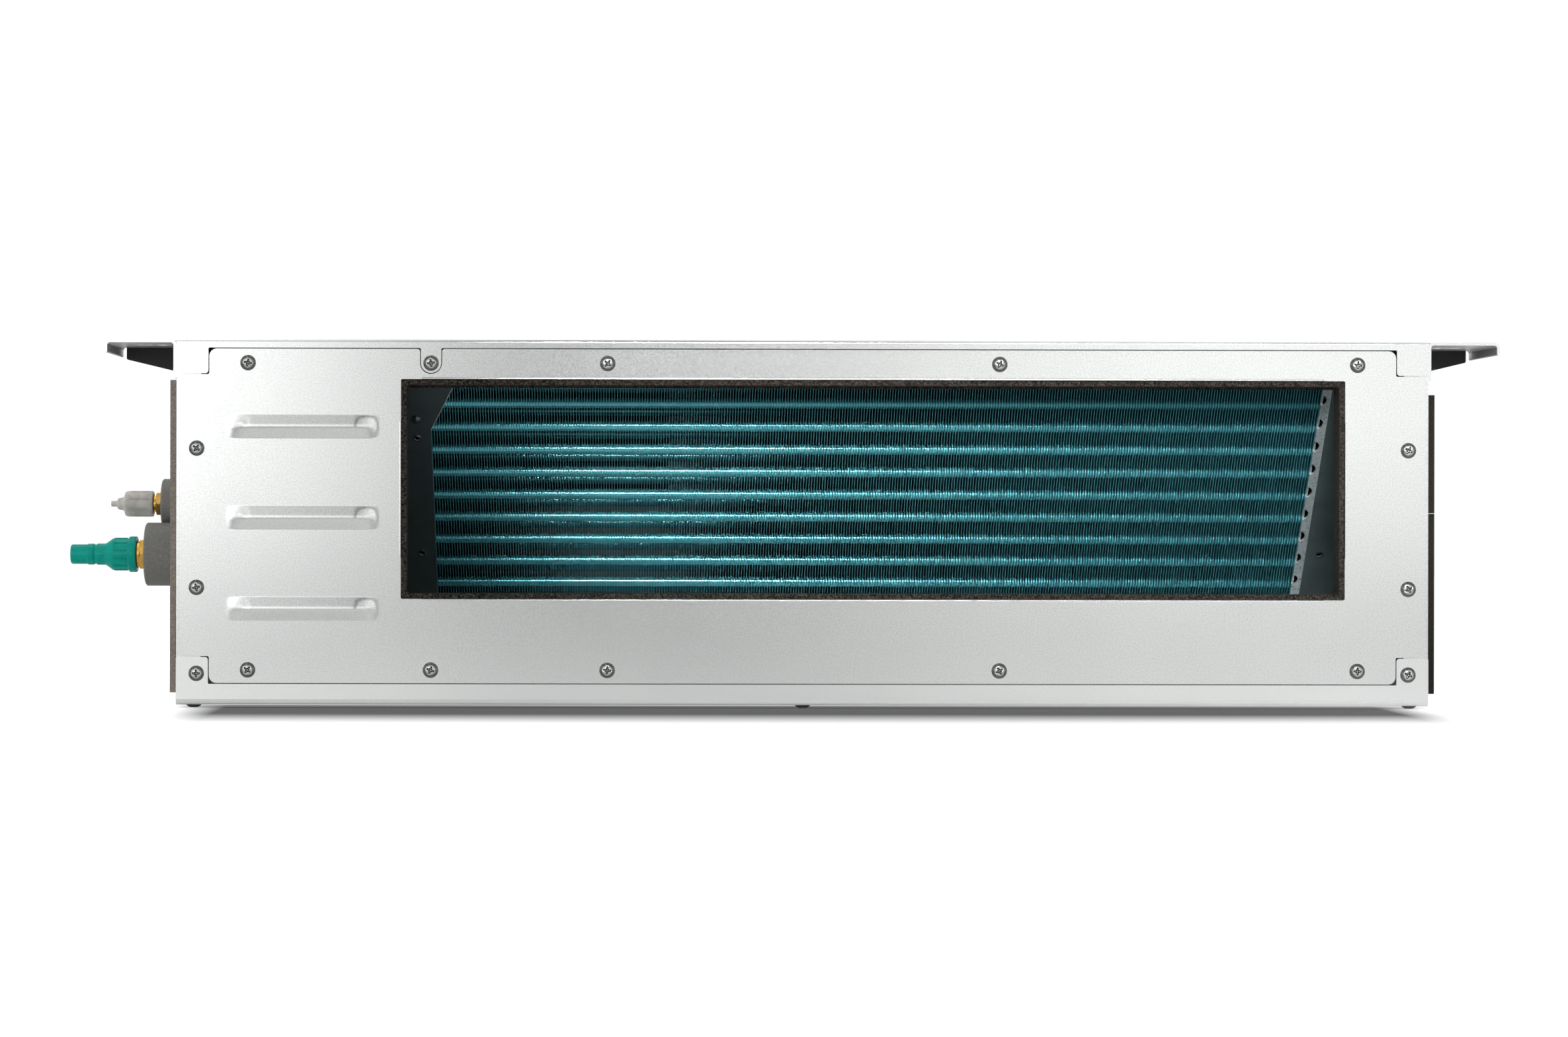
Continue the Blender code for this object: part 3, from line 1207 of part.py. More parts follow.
def control_box():
    """A shallow steel box on the right side, its cover, board, terminals and cable grommets."""
    x = (SIDE + CLEAR, SIDE + CLEAR + BOX_DEPTH)
    y = (FRONT + BOX_FRONT, FRONT + BOX_FRONT + BOX_LENGTH)
    z = (BOX_BOTTOM, BOX_BOTTOM + BOX_HEIGHT)
    shell = box("control_box", x, y, z, ZINC)
    t = BOX_SHEET
    cut(shell, box("control_hollow", (x[0] + t, x[1] + t), (y[0] + t, y[1] - t), (z[0] + t, z[1] - t)))
    skirt = t + CLEAR
    lid_x = (x[1] - COVER_LIP, x[1] + skirt)
    lid = box("control_cover", lid_x, (y[0] - skirt, y[1] + skirt), (z[0] - skirt, z[1] + skirt), ZINC)
    gap = CLEAR
    hollow = (lid_x[0] - t, lid_x[1] - t)
    cut(lid, box("cover_hollow", hollow, (y[0] - gap, y[1] + gap), (z[0] - gap, z[1] + gap)))
    board_x = x[0] + t + BOARD_STANDOFF
    m = BOARD_MARGIN
    terminal_y = y[1] - m - TERMINAL_HEIGHT
    board_y = (y[0] + m, terminal_y - m)
    board_z = (z[0] + m, z[1] - m)
    board = box("circuit_board", (board_x, board_x + BOARD_SHEET), board_y, board_z, BOARD_GREEN)
    for post_y in (board_y[0] + POST_INSET, board_y[1] - POST_INSET):
        for post_z in (board_z[0] + POST_INSET, board_z[1] - POST_INSET):
            loop = circle(post_y, post_z, POST_RADIUS, 8)
            join(board, prism("board_post", "X", [loop], x[0] + t + CLEAR, board_x + BOARD_SHEET / 2))
    long = board_y[1] - board_y[0]
    tall = board_z[1] - board_z[0]
    for name, u, v, share, height in (
        ("heat_sink", 0.30, 0.72, 0.24, HEAT_SINK_HEIGHT),
        ("capacitor", 0.68, 0.70, 0.18, CAPACITOR_HEIGHT),
        ("chip", 0.35, 0.28, 0.18, CHIP_HEIGHT),
    ):
        part_y = (board_y[0] + (u - share / 2) * long, board_y[0] + (u + share / 2) * long)
        part_z = (board_z[0] + (v - share / 2) * tall, board_z[0] + (v + share / 2) * tall)
        join(board, box(name, (board_x + BOARD_SHEET / 2, board_x + BOARD_SHEET + height), part_y, part_z))
    block_x = (x[0] + t + CLEAR, x[0] + t + CLEAR + TERMINAL_DEPTH)
    block_z = (z[0] + 2 * m, z[0] + 2 * m + TERMINAL_LENGTH)
    block = box("terminal_block", block_x, (terminal_y, terminal_y + TERMINAL_HEIGHT), block_z, BLACK)
    way = TERMINAL_LENGTH / TERMINAL_WAYS
    slots = [
        box(
            f"terminal_slot_{i}",
            (block_x[1] - TERMINAL_DEPTH / 2, block_x[1] + t),
            (terminal_y - t, terminal_y + TERMINAL_HEIGHT + t),
            (block_z[0] + way * (i + TERMINAL_RIB), block_z[0] + way * (i + 1 - TERMINAL_RIB)),
        )
        for i in range(TERMINAL_WAYS)
    ]
    cut(block, *slots)
    for i, share in enumerate((0.30, 0.70)):
        place = (x[0] + BOX_DEPTH * 0.45, y[0] + BOX_LENGTH * share, z[0])
        loop = circle(place[0], place[1], GROMMET_RADIUS)
        cut(shell, prism(f"grommet_hole_{i}", "Z", [loop], z[0] - t, z[0] + 2 * t))
        neck = GROMMET_RADIUS - CLEAR
        lip = GROMMET_RADIUS + GROMMET_LIP
        inside = t + CLEAR
        profile = [
            (0, inside + GROMMET_GROOVE), (lip, inside + GROMMET_GROOVE), (lip, inside), (neck, inside),
            (neck, -CLEAR), (lip, -CLEAR), (lip * 0.9, -GROMMET_LIP), (0, -GROMMET_LIP),
        ]
        turned(f"{('front', 'rear')[i]}_cable_grommet", profile, place, "Z", finish=RUBBER)


def return_side():
    """Rails on the inlet panel and the filter that slides in them: a barred frame and its net."""
    left, right, low, high = inlet_opening()
    reach = right + FILTER_MARGIN
    y = REAR + CLEAR
    t = RAIL_SHEET
    bottom = low - RAIL_HEIGHT
    top = high + RAIL_HEIGHT
    lower = [(0, 0), (RAIL_DEPTH, 0), (RAIL_DEPTH, RAIL_HEIGHT), (RAIL_DEPTH - t, RAIL_HEIGHT)]
    lower += [(RAIL_DEPTH - t, t), (t, t), (t, RAIL_HEIGHT), (0, RAIL_HEIGHT)]
    prism("lower_filter_rail", "X", [[(y + u, bottom + v) for u, v in lower]], -reach, reach, ZINC)
    prism("upper_filter_rail", "X", [[(y + u, top - v) for u, v in lower]], -reach, reach, ZINC)
    inner = (y + t + CLEAR, y + t + CLEAR + FILTER_THICK)
    frame_z = (bottom + t + CLEAR, top - t - CLEAR)
    holes = []
    wide = (2 * reach - FILTER_BAR) / FILTER_COLUMNS
    high_step = (frame_z[1] - frame_z[0] - FILTER_BAR) / FILTER_ROWS
    for i in range(FILTER_COLUMNS):
        for j in range(FILTER_ROWS):
            u = -reach + FILTER_BAR + i * wide
            v = frame_z[0] + FILTER_BAR + j * high_step
            holes.append(rectangle(u, u + wide - FILTER_BAR, v, v + high_step - FILTER_BAR))
    prism("filter_frame", "Y", [rectangle(-reach, reach, *frame_z), *holes], *inner, BLACK)
    net_y = inner[1] + CLEAR
    box("filter_net", (-reach, reach), (net_y, net_y + NET), frame_z, NET_GREY)


def openings_in_left_side(panel):
    """Round holes for the two pipes and the drain spout."""
    reach = (-SIDE - SHEET, -SIDE + 2 * SHEET)
    holes = (
        ("gas_pipe_hole", FRONT + GAS_Y, GAS_Z, GAS_TUBE + PIPE_HOLE_ROOM),
        ("liquid_pipe_hole", FRONT + LIQUID_Y, LIQUID_Z, LIQUID_TUBE + PIPE_HOLE_ROOM),
        ("spout_hole", FRONT + SPOUT_Y, SPOUT_Z, SPOUT_RADIUS + CLEAR),
    )
    return cut(panel, *[prism(name, "X", [circle(y, z, radius)], *reach) for name, y, z, radius in holes])


top_panel()
base_panel()
openings_in_left_side(side_panel("left_side_panel", -1))
side_panel("right_side_panel", 1)
outlet_panel()
inlet_panel()
outlet_lining()
side_foams()
for hanger_name, hanger_side, hanger_end in (
    ("front_left_hanger", -1, -1),
    ("front_right_hanger", 1, -1),
    ("rear_left_hanger", -1, 1),
    ("rear_right_hanger", 1, 1),
):
    hanger(hanger_name, hanger_side, hanger_end)
coil()
refrigerant_lines()
connections()
drain_pan()
fan_deck()
for fan_name, fan_x in (("left", -FAN_SPACING / 2), ("right", FAN_SPACING / 2)):
    scroll_half(f"{fan_name}_upper_scroll", fan_x, True)
    scroll_half(f"{fan_name}_lower_scroll", fan_x, False)
fan_wheels()
motor()
control_box()
return_side()
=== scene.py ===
import math

import bmesh
import bpy
from mathutils import Matrix, Vector


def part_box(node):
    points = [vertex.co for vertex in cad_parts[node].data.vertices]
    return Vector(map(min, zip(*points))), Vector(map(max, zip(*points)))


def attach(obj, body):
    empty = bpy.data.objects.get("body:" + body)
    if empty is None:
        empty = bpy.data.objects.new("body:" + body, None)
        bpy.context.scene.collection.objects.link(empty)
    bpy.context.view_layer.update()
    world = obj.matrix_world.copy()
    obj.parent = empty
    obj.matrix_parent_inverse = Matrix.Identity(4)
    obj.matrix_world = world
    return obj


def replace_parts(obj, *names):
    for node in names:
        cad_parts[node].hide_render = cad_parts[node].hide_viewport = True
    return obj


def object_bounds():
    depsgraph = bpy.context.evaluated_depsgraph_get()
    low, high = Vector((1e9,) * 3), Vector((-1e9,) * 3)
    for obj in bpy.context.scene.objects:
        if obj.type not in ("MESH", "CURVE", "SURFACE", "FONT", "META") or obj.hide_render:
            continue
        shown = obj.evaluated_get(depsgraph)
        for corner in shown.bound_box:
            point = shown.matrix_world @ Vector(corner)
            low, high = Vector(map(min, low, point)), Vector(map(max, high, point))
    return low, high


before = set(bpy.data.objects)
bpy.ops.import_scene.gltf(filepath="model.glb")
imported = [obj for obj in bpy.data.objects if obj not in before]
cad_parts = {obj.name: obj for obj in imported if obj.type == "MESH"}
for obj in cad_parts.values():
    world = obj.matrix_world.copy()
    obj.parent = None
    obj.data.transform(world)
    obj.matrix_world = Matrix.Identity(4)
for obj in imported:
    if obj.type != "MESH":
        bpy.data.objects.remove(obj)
cad_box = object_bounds()

# The studio: a white floor, a white surround and a long lens in front of the air outlet. The
# surround is dimmer straight behind the camera, as a real studio is, so bare metal grows greyer
# towards the middle of the casing. Only the camera sees both as plain white.
CAMERA_PLACE = (-0.1367, -3.1097, 0.1371)
CAMERA_YAW = -0.7135
CAMERA_ROLL = -0.1117
CAMERA_SHIFT = 0.0757
LENS = 88.39
WHITE = (1, 1, 1, 1)


def placed(name, data):
    """A new object in the scene that holds a mesh, a curve, a lamp or a camera."""
    holder = bpy.data.objects.new(name, data)
    bpy.context.scene.collection.objects.link(holder)
    return holder


camera = placed("camera", bpy.data.cameras.new("camera"))
camera.data.lens = LENS
camera.data.sensor_width = 36
camera.data.shift_x = CAMERA_SHIFT
camera.data.clip_end = 50
camera.location = CAMERA_PLACE
camera.rotation_euler = (math.radians(90), math.radians(CAMERA_ROLL), math.radians(CAMERA_YAW))
bpy.context.scene.camera = camera
bpy.context.scene.view_settings.view_transform = "Standard"


def softbox(name, place, aim, size, power, spread=180):
    lamp = bpy.data.lights.new(name, "AREA")
    lamp.shape = "RECTANGLE"
    lamp.spread = math.radians(spread)
    lamp.size, lamp.size_y = size
    lamp.energy = power
    holder = placed(name, lamp)
    holder.location = place
    holder.rotation_euler = (Vector(aim) - Vector(place)).to_track_quat("-Z", "Y").to_euler()


softbox("left_softbox", (-2.6, -2.4, 1.5), (-0.1, -0.2, 0.1), (1.4, 1.2), power=5)
softbox("top_softbox", (0, 0.3, 2.6), (0, 0, 0.1), (3.0, 2.2), power=11)
softbox("low_left_softbox", (-1.4, -2.9, 0.40), (0, -0.2, 0.1), (0.8, 0.5), power=1.3)
softbox("coil_softbox", (0.20, -1.20, 0.60), (0.26, -0.18, 0.122), (0.80, 0.10), power=0.46, spread=18)


def joined(tree, kind, *terms, **settings):
    """A node fed slot by slot with numbers, colours, other nodes or one output of a node."""
    node = tree.nodes.new(kind)
    for setting, value in settings.items():
        setattr(node, setting, value)
    for slot, term in zip(node.inputs, terms):
        if isinstance(term, bpy.types.Node):
            term = term.outputs[0]
        if isinstance(term, bpy.types.NodeSocket):
            tree.links.new(term, slot)
        else:
            slot.default_value = term
    return node


def stepped(tree, source, stops, ends):
    """A colour that changes at each stop along a number, from one end colour to the same one."""
    colours = joined(tree, "ShaderNodeValToRGB", source)
    for share, colour in stops:
        colours.color_ramp.elements.new(share).color = (*colour, 1)
    for end in (0, -1):
        colours.color_ramp.elements[end].color = ends
    return colours


# Greys of the surround from the far left to the far right, as shares of its width, and how it dims
# towards the ceiling and under the floor.
SURROUND_STRENGTH = 1.15
SURROUND_ENDS = (0.84, 0.85, 0.845, 1)
SURROUND_GREYS = (
    (0.30, 1.45), (0.386, 1.82), (0.42, 1.15), (0.46, 0.05), (0.50, 0.12),
    (0.55, 0.15), (0.59, 0.80), (0.63, 1.10), (0.667, 0.91), (0.70, 0.93),
)
CEILING = (0.10, 0.60, 1.0, 0.55)
CELLAR = (-0.25, -0.02, 0.55, 1.0)


def surround():
    world = bpy.data.worlds.new("surround")
    bpy.context.scene.world = world
    world.use_nodes = True
    tree = world.node_tree
    tree.nodes.clear()
    direction = tree.nodes.new("ShaderNodeTexCoord").outputs["Generated"]
    parts = joined(tree, "ShaderNodeSeparateXYZ", direction).outputs
    across = joined(tree, "ShaderNodeMapRange", parts["X"], -0.5, 0.5)
    greys = [(share, (grey * 0.985, grey, grey * 0.995)) for share, grey in SURROUND_GREYS]
    sides = stepped(tree, across, greys, SURROUND_ENDS)
    above = joined(tree, "ShaderNodeMapRange", parts["Z"], *CEILING)
    below = joined(tree, "ShaderNodeMapRange", parts["Z"], *CELLAR)
    height = joined(tree, "ShaderNodeMath", above, below, operation="MULTIPLY")
    dimmed = joined(tree, "ShaderNodeMixRGB", 1, sides, height, blend_type="MULTIPLY")
    camera_ray = tree.nodes.new("ShaderNodeLightPath").outputs["Is Camera Ray"]
    seen = joined(tree, "ShaderNodeMixRGB", camera_ray, dimmed, WHITE)
    light = joined(tree, "ShaderNodeBackground", seen, SURROUND_STRENGTH)
    joined(tree, "ShaderNodeOutputWorld", light)


surround()

# The floor carries a painted shadow: the soft dark strip in front of the casing, seen by the camera
# alone. Its paper greys with the distance, towards the right it glows faintly for reflected rays, a
# painted light that the metal shows, and it has a gap under the casing, where nothing shows it.
FLOOR_LEVEL = cad_box[0][2]
FLOOR_SIZE = 12
FLOOR_GAP = (0.452, 0.235)
SHADOW_PAINT_FROM = -0.185
SHADOW_PAINT_TO = -0.785
SHADOW_PAINT_GREYS = ((0.15, 0.12), (0.30, 0.12), (0.54, 0.97), (0.80, 1.0))
SHADOW_PAINT_ENDS = (0.425, 0.46)
PAPER_GREY = (0.55, 1.50, 0.90, 0.53)
CAMERA_GLOW = (0.45, 1.30, 0.55, 1.0)
RIGHT_SHEEN = (0.0, 0.45, 0.0, 0.14)


def floor_paint():
    paint = bpy.data.materials.new("floor_paint")
    paint.use_nodes = True
    tree = paint.node_tree
    tree.nodes.clear()
    place = tree.nodes.new("ShaderNodeTexCoord").outputs["Object"]
    ray = tree.nodes.new("ShaderNodeLightPath").outputs
    spot = joined(tree, "ShaderNodeSeparateXYZ", place).outputs
    distance = joined(tree, "ShaderNodeVectorMath", place, operation="LENGTH").outputs["Value"]
    # The painted shadow: greys by the depth in front of the casing, fading out past its ends.
    ahead = joined(tree, "ShaderNodeMapRange", spot["Y"], SHADOW_PAINT_FROM, SHADOW_PAINT_TO)
    strip = stepped(tree, ahead, [(share, (grey,) * 3) for share, grey in SHADOW_PAINT_GREYS], WHITE)
    width = joined(tree, "ShaderNodeMath", spot["X"], operation="ABSOLUTE")
    beside = joined(tree, "ShaderNodeMapRange", width, *SHADOW_PAINT_ENDS)
    unseen = joined(tree, "ShaderNodeMath", 1, ray["Is Camera Ray"], operation="SUBTRACT")
    plain = joined(tree, "ShaderNodeMath", beside, unseen, operation="MAXIMUM")
    painted_shadow_level = joined(tree, "ShaderNodeMixRGB", plain, strip, WHITE)
    tint = joined(tree, "ShaderNodeMapRange", distance, *PAPER_GREY)
    paper = joined(tree, "ShaderNodeMixRGB", 1, painted_shadow_level, tint, blend_type="MULTIPLY")
    fade = joined(tree, "ShaderNodeMapRange", distance, *CAMERA_GLOW)
    share = joined(tree, "ShaderNodeMath", ray["Is Camera Ray"], fade, operation="MULTIPLY")
    # A painted glow towards the right, seen only by reflected rays.
    right = joined(tree, "ShaderNodeMapRange", spot["X"], *RIGHT_SHEEN)
    glow = joined(tree, "ShaderNodeMath", right, ray["Is Glossy Ray"], share, operation="MULTIPLY_ADD")
    surface = joined(tree, "ShaderNodeBsdfDiffuse", paper)
    both = joined(tree, "ShaderNodeAddShader", surface, joined(tree, "ShaderNodeEmission", painted_shadow_level, glow))
    underside = tree.nodes.new("ShaderNodeNewGeometry").outputs["Backfacing"]
    clear = tree.nodes.new("ShaderNodeBsdfTransparent")
    joined(tree, "ShaderNodeOutputMaterial", joined(tree, "ShaderNodeMixShader", underside, both, clear))
    return paint


def floor():
    corners = []
    for x, y in ((FLOOR_SIZE / 2, FLOOR_SIZE / 2), FLOOR_GAP):
        corners += [(-x, -y, FLOOR_LEVEL), (x, -y, FLOOR_LEVEL), (x, y, FLOOR_LEVEL), (-x, y, FLOOR_LEVEL)]
    faces = [(i, (i + 1) % 4, 4 + (i + 1) % 4, 4 + i) for i in range(4)]
    mesh = bpy.data.meshes.new("floor")
    mesh.from_pydata(corners, [], faces)
    mesh.materials.append(floor_paint())
    placed("floor", mesh)


floor()

# Top and base panels: cold-rolled steel with a fine zinc spangle, dull and pale. Each is folded down
# over both end panels in a narrow strip, with two corner tabs on each end and one round-ended tab at
# the front of the top.
SHEET = 0.0012
TOP_FOLD = 0.0021
BASE_FOLD = 0.0042
TOP_STRIP = 0.0062
BASE_STRIP = 0.0153
TAB_WIDTH = 0.0235
TOP_TAB = 0.0250
BASE_TAB = 0.0350
TAB_RADIUS = 0.0055
MIDDLE_TAB_X = -0.2735
MIDDLE_TAB_WIDTH = 0.0150
MIDDLE_TAB = 0.0245
SIDE, _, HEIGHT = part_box("top_panel")[1]
FRONT = -0.285
REAR = 0.285


def shader(name, colour, roughness, metallic=0.0):
    """A new material, with its node tree and its Principled shader."""
    made = bpy.data.materials.new(name)
    made.use_nodes = True
    tree = made.node_tree
    surface = tree.nodes["Principled BSDF"]
    surface.inputs["Base Color"].default_value = (*colour, 1)
    surface.inputs["Roughness"].default_value = roughness
    surface.inputs["Metallic"].default_value = metallic
    return made, tree, surface


def grain(tree, kind, scale, detail=2.0):
    """A pattern on the piece's own place in metres, so it doesn't slide when the piece moves."""
    place = tree.nodes.new("ShaderNodeTexCoord")
    pattern = tree.nodes.new(kind)
    pattern.inputs["Scale"].default_value = scale
    if kind == "ShaderNodeTexNoise":
        pattern.inputs["Detail"].default_value = detail
    tree.links.new(place.outputs["Object"], pattern.inputs["Vector"])
    return pattern.outputs["Color" if kind == "ShaderNodeTexVoronoi" else "Fac"]


def ramp(tree, source, low, high, start=0.0, end=1.0):
    """Two colours or two greys spread over a pattern's range."""
    spread = tree.nodes.new("ShaderNodeValToRGB")
    spread.color_ramp.elements[0].position = start
    spread.color_ramp.elements[1].position = end
    spread.color_ramp.elements[0].color = (*low, 1)
    spread.color_ramp.elements[1].color = (*high, 1)
    tree.links.new(source, spread.inputs[0])
    return spread.outputs[0]


def times(tree, one, other, share=1.0):
    return joined(tree, "ShaderNodeMixRGB", share, one, other, blend_type="MULTIPLY").outputs[0]


def galvanised(name, light, dark, metallic=0.95, roughness=0.19):
    made, tree, surface = shader(name, light, roughness, metallic)
    grains = ramp(tree, grain(tree, "ShaderNodeTexNoise", 1000, 1.0), dark, light, 0.36, 0.60)
    drift = grain(tree, "ShaderNodeTexNoise", 9, 2.0)
    clouds = ramp(tree, drift, (0.965, 0.965, 0.97), (1, 1, 1), 0.35, 0.65)
    tree.links.new(times(tree, grains, clouds), surface.inputs["Base Color"])
    spangle = grain(tree, "ShaderNodeTexVoronoi", 700)
    rough = ramp(tree, spangle, (roughness - 0.015,) * 3, (roughness + 0.02,) * 3)
    tree.links.new(rough, surface.inputs["Roughness"])
    return made


ZINC = galvanised("galvanised_sheet", (0.91, 0.915, 0.90), (0.80, 0.81, 0.80))


def link_piece(name, mesh, material, body, smooth=34):
    mesh.materials.clear()
    mesh.materials.append(material)
    mesh.shade_smooth()
    mesh.set_sharp_from_angle(angle=math.radians(smooth))
    piece = placed(name, mesh)
    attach(piece, body)
    return piece


def settled(blank):
    """The finished shape as a plain mesh, with its place moved into the mesh."""
    bpy.context.view_layer.update()
    graph = bpy.context.evaluated_depsgraph_get()
    mesh = bpy.data.meshes.new_from_object(blank.evaluated_get(graph))
    mesh.transform(blank.matrix_world)
    bpy.data.objects.remove(blank)
    shape = bmesh.new()
    shape.from_mesh(mesh)
    bmesh.ops.remove_doubles(shape, verts=shape.verts, dist=2e-6)
    bmesh.ops.recalc_face_normals(shape, faces=shape.faces)
    shape.to_mesh(mesh)
    shape.free()
    return mesh


def rounded(corners, steps=6):
    """A closed outline through (u, v, radius) corners, each rounded by its own radius."""
    points = []
    for i, (u, v, radius) in enumerate(corners):
        here = Vector((u, v))
        if radius == 0:
            points.append(here)
            continue
        before = (Vector(corners[i - 1][:2]) - here).normalized()
        after = (Vector(corners[(i + 1) % len(corners)][:2]) - here).normalized()
        half = before.angle(after) / 2
        centre = here + (before + after).normalized() * radius / math.sin(half)
        start = here + before * radius / math.tan(half) - centre
        end = here + after * radius / math.tan(half) - centre
        for step in range(steps + 1):
            points.append(centre + start.slerp(end, step / steps, start).normalized() * radius)
    return points


STAND = {"X": (math.pi / 2, 0, math.pi / 2), "Y": (math.pi / 2, 0, 0), "Z": (0, 0, 0)}


def pressed(axis, loops, low, high, edge=0.0):
    """Sheet cut to an outline, with the other outlines as holes, from low to high along an axis."""
    curve = bpy.data.curves.new("blank", "CURVE")
    curve.dimensions = "2D"
    curve.fill_mode = "BOTH"
    curve.bevel_depth = edge
    curve.bevel_resolution = 1
    curve.offset = -edge
    curve.extrude = (high - low) / 2 - edge
    for number, loop in enumerate(loops):
        turn = sum(a.x * b.y - b.x * a.y for a, b in zip(loop, loop[1:] + loop[:1]))
        if (turn > 0) != (number == 0):
            loop = loop[::-1]
        spline = curve.splines.new("POLY")
        spline.points.add(len(loop) - 1)
        for point, (u, v) in zip(spline.points, loop):
            point.co = (u, v, 0, 1)
        spline.use_cyclic_u = True
    blank = placed("blank", curve)
    blank.rotation_euler = STAND[axis]
    blank.location["XYZ".index(axis)] = (low + high) / 2
    return settled(blank)


def as_mesh(name, shape):
    mesh = bpy.data.meshes.new(name)
    shape.to_mesh(mesh)
    shape.free()
    return mesh


def together(*meshes):
    """Several meshes of one piece made into one mesh."""
    shape = bmesh.new()
    for mesh in meshes:
        shape.from_mesh(mesh)
    for mesh in meshes:
        bpy.data.meshes.remove(mesh)
    return as_mesh("whole", shape)


def folded_skin(level, upward, fold):
    """The flat of a top or base panel with its two folds, as one bent section."""
    inner = fold - SHEET
    outer = []
    under = []
    for step in range(9):
        turn = math.pi / 2 * step / 8
        out = Vector((math.cos(turn), math.sin(turn)))
        outer.append(out * fold)
        under.append(out * inner)
    centre = REAR - fold
    section = []
    for points, end in ((outer, 1), (outer[::-1], -1), (under, -1), (under[::-1], 1)):
        section += [Vector((end * (centre + p.x), level + upward * (fold - p.y))) for p in points]
    return pressed("X", [section], -SIDE, SIDE)


def end_strip(level, upward, fold, strip, reach, y, middle_tab):
    """The strip and tabs that show on an end face, running up from the base or down from the top."""
    start = level + upward * fold
    far = level + upward * strip
    tip = level + upward * reach
    corners = [
        (-SIDE, start, 0),
        (-SIDE, tip, 0.0012),
        (-SIDE + TAB_WIDTH, tip, TAB_RADIUS * 0.4),
        (-SIDE + TAB_WIDTH, far, 0.0008),
    ]
    if middle_tab:
        half = MIDDLE_TAB_WIDTH / 2
        end = level + upward * MIDDLE_TAB
        corners += [
            (MIDDLE_TAB_X - half, far, 0.0012),
            (MIDDLE_TAB_X - half, end, half * 0.98),
            (MIDDLE_TAB_X + half, end, half * 0.98),
            (MIDDLE_TAB_X + half, far, 0.0012),
        ]
    corners += [
        (SIDE - TAB_WIDTH, far, 0.0008),
        (SIDE - TAB_WIDTH, tip, TAB_RADIUS * 0.4),
        (SIDE, tip, 0.0012),
        (SIDE, start, 0),
    ]
    return pressed("Y", [rounded(corners)], y, y + SHEET)


top = together(
    folded_skin(HEIGHT, -1, TOP_FOLD),
    end_strip(HEIGHT, -1, TOP_FOLD, TOP_STRIP, TOP_TAB, FRONT, True),
    end_strip(HEIGHT, -1, TOP_FOLD, TOP_STRIP, TOP_TAB, REAR - SHEET, False),
)
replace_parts(link_piece("top_sheet", top, ZINC, "casing", 15), "top_panel")
base = together(
    folded_skin(0, 1, BASE_FOLD),
    end_strip(0, 1, BASE_FOLD, BASE_STRIP, BASE_TAB, FRONT, False),
    end_strip(0, 1, BASE_FOLD, BASE_STRIP, BASE_TAB, REAR - SHEET, False),
)
# The base gets a paler copy of the zinc: painted light that brightens its folded strip.
BASE_ZINC_PAINTED_LIGHTER = galvanised("base_sheet_zinc", (0.97, 0.975, 0.96), (0.92, 0.93, 0.92))
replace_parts(link_piece("base_sheet", base, BASE_ZINC_PAINTED_LIGHTER, "casing", 15), "base_panel")

# Outlet panel: one galvanised pressing that closes the front, notched round the tabs, with three
# stiffening ribs, the outlet opening and a narrow flange turned in along each of its edges.
SEAM = 0.0006
PANEL_CORNER = 0.0056
EDGE_INSET = 0.0022
OPENING = (-0.2954, 0.3983, 0.0779, 0.2389)
FLANGE_REACH = 0.010
FLANGE_BEND = 0.0016
RELIEF = 0.0155
BEAD = 0.0007
BEAD_SUNK = 0.0002
CUT_EDGE_ROUND = 0.00018
RIB_X = -0.3675
RIB_LENGTH = 0.1107
RIB_WIDTH = 0.0165
RIB_HEIGHT = 0.0035
RIB_TAPER = 0.017
RIB_MARGIN = 0.003
RIB_LEVELS = (0.0706, 0.1374, 0.2042)


def panel_edge(middle_tab):
    """The sheet's outline, notched round the tabs of the top and base with a thin seam between."""
    left = -SIDE + EDGE_INSET
    right = SIDE - EDGE_INSET
    low = BASE_STRIP + SEAM
    high = HEIGHT - TOP_STRIP - SEAM
    notch = TAB_WIDTH + SEAM
    low_notch = BASE_TAB + SEAM
    high_notch = HEIGHT - TOP_TAB - SEAM
    corners = [
        (left, low_notch, PANEL_CORNER),
        (-SIDE + notch, low_notch, 0.0012),
        (-SIDE + notch, low, PANEL_CORNER),
        (SIDE - notch, low, PANEL_CORNER),
        (SIDE - notch, low_notch, 0.0012),
        (right, low_notch, PANEL_CORNER),
        (right, high_notch, PANEL_CORNER),
        (SIDE - notch, high_notch, 0.0012),
        (SIDE - notch, high, PANEL_CORNER),
    ]
    if middle_tab:
        half = MIDDLE_TAB_WIDTH / 2 + SEAM
        end = HEIGHT - MIDDLE_TAB - SEAM
        corners += [
            (MIDDLE_TAB_X + half, high, 0.0020),
            (MIDDLE_TAB_X + half, end, half * 0.98),
            (MIDDLE_TAB_X - half, end, half * 0.98),
            (MIDDLE_TAB_X - half, high, 0.0020),
        ]
    corners += [
        (-SIDE + notch, high, PANEL_CORNER),
        (-SIDE + notch, high_notch, 0.0012),
        (left, high_notch, PANEL_CORNER),
    ]
    return rounded(corners)


def turned_in_flange(axis, start, end, edge, outward, y, inward):
    """A flange along one edge of an opening: a quarter bend from the panel's face, then a flat."""
    points = []
    for radius, steps in ((FLANGE_BEND, range(7)), (FLANGE_BEND - SHEET * 0.8, range(6, -1, -1))):
        for step in steps:
            turn = math.pi / 2 * step / 6
            points.append((FLANGE_BEND - radius * math.sin(turn), FLANGE_BEND - radius * math.cos(turn)))
    section = points[:7] + [(0, FLANGE_REACH), (SHEET * 0.8, FLANGE_REACH)] + points[7:]
    loop = [Vector((edge + outward * u, y + inward * v)) for u, v in section]
    if axis == "Z":
        return pressed("Z", [loop], start, end)
    return pressed("X", [[Vector((p.y, p.x)) for p in loop]], start, end)


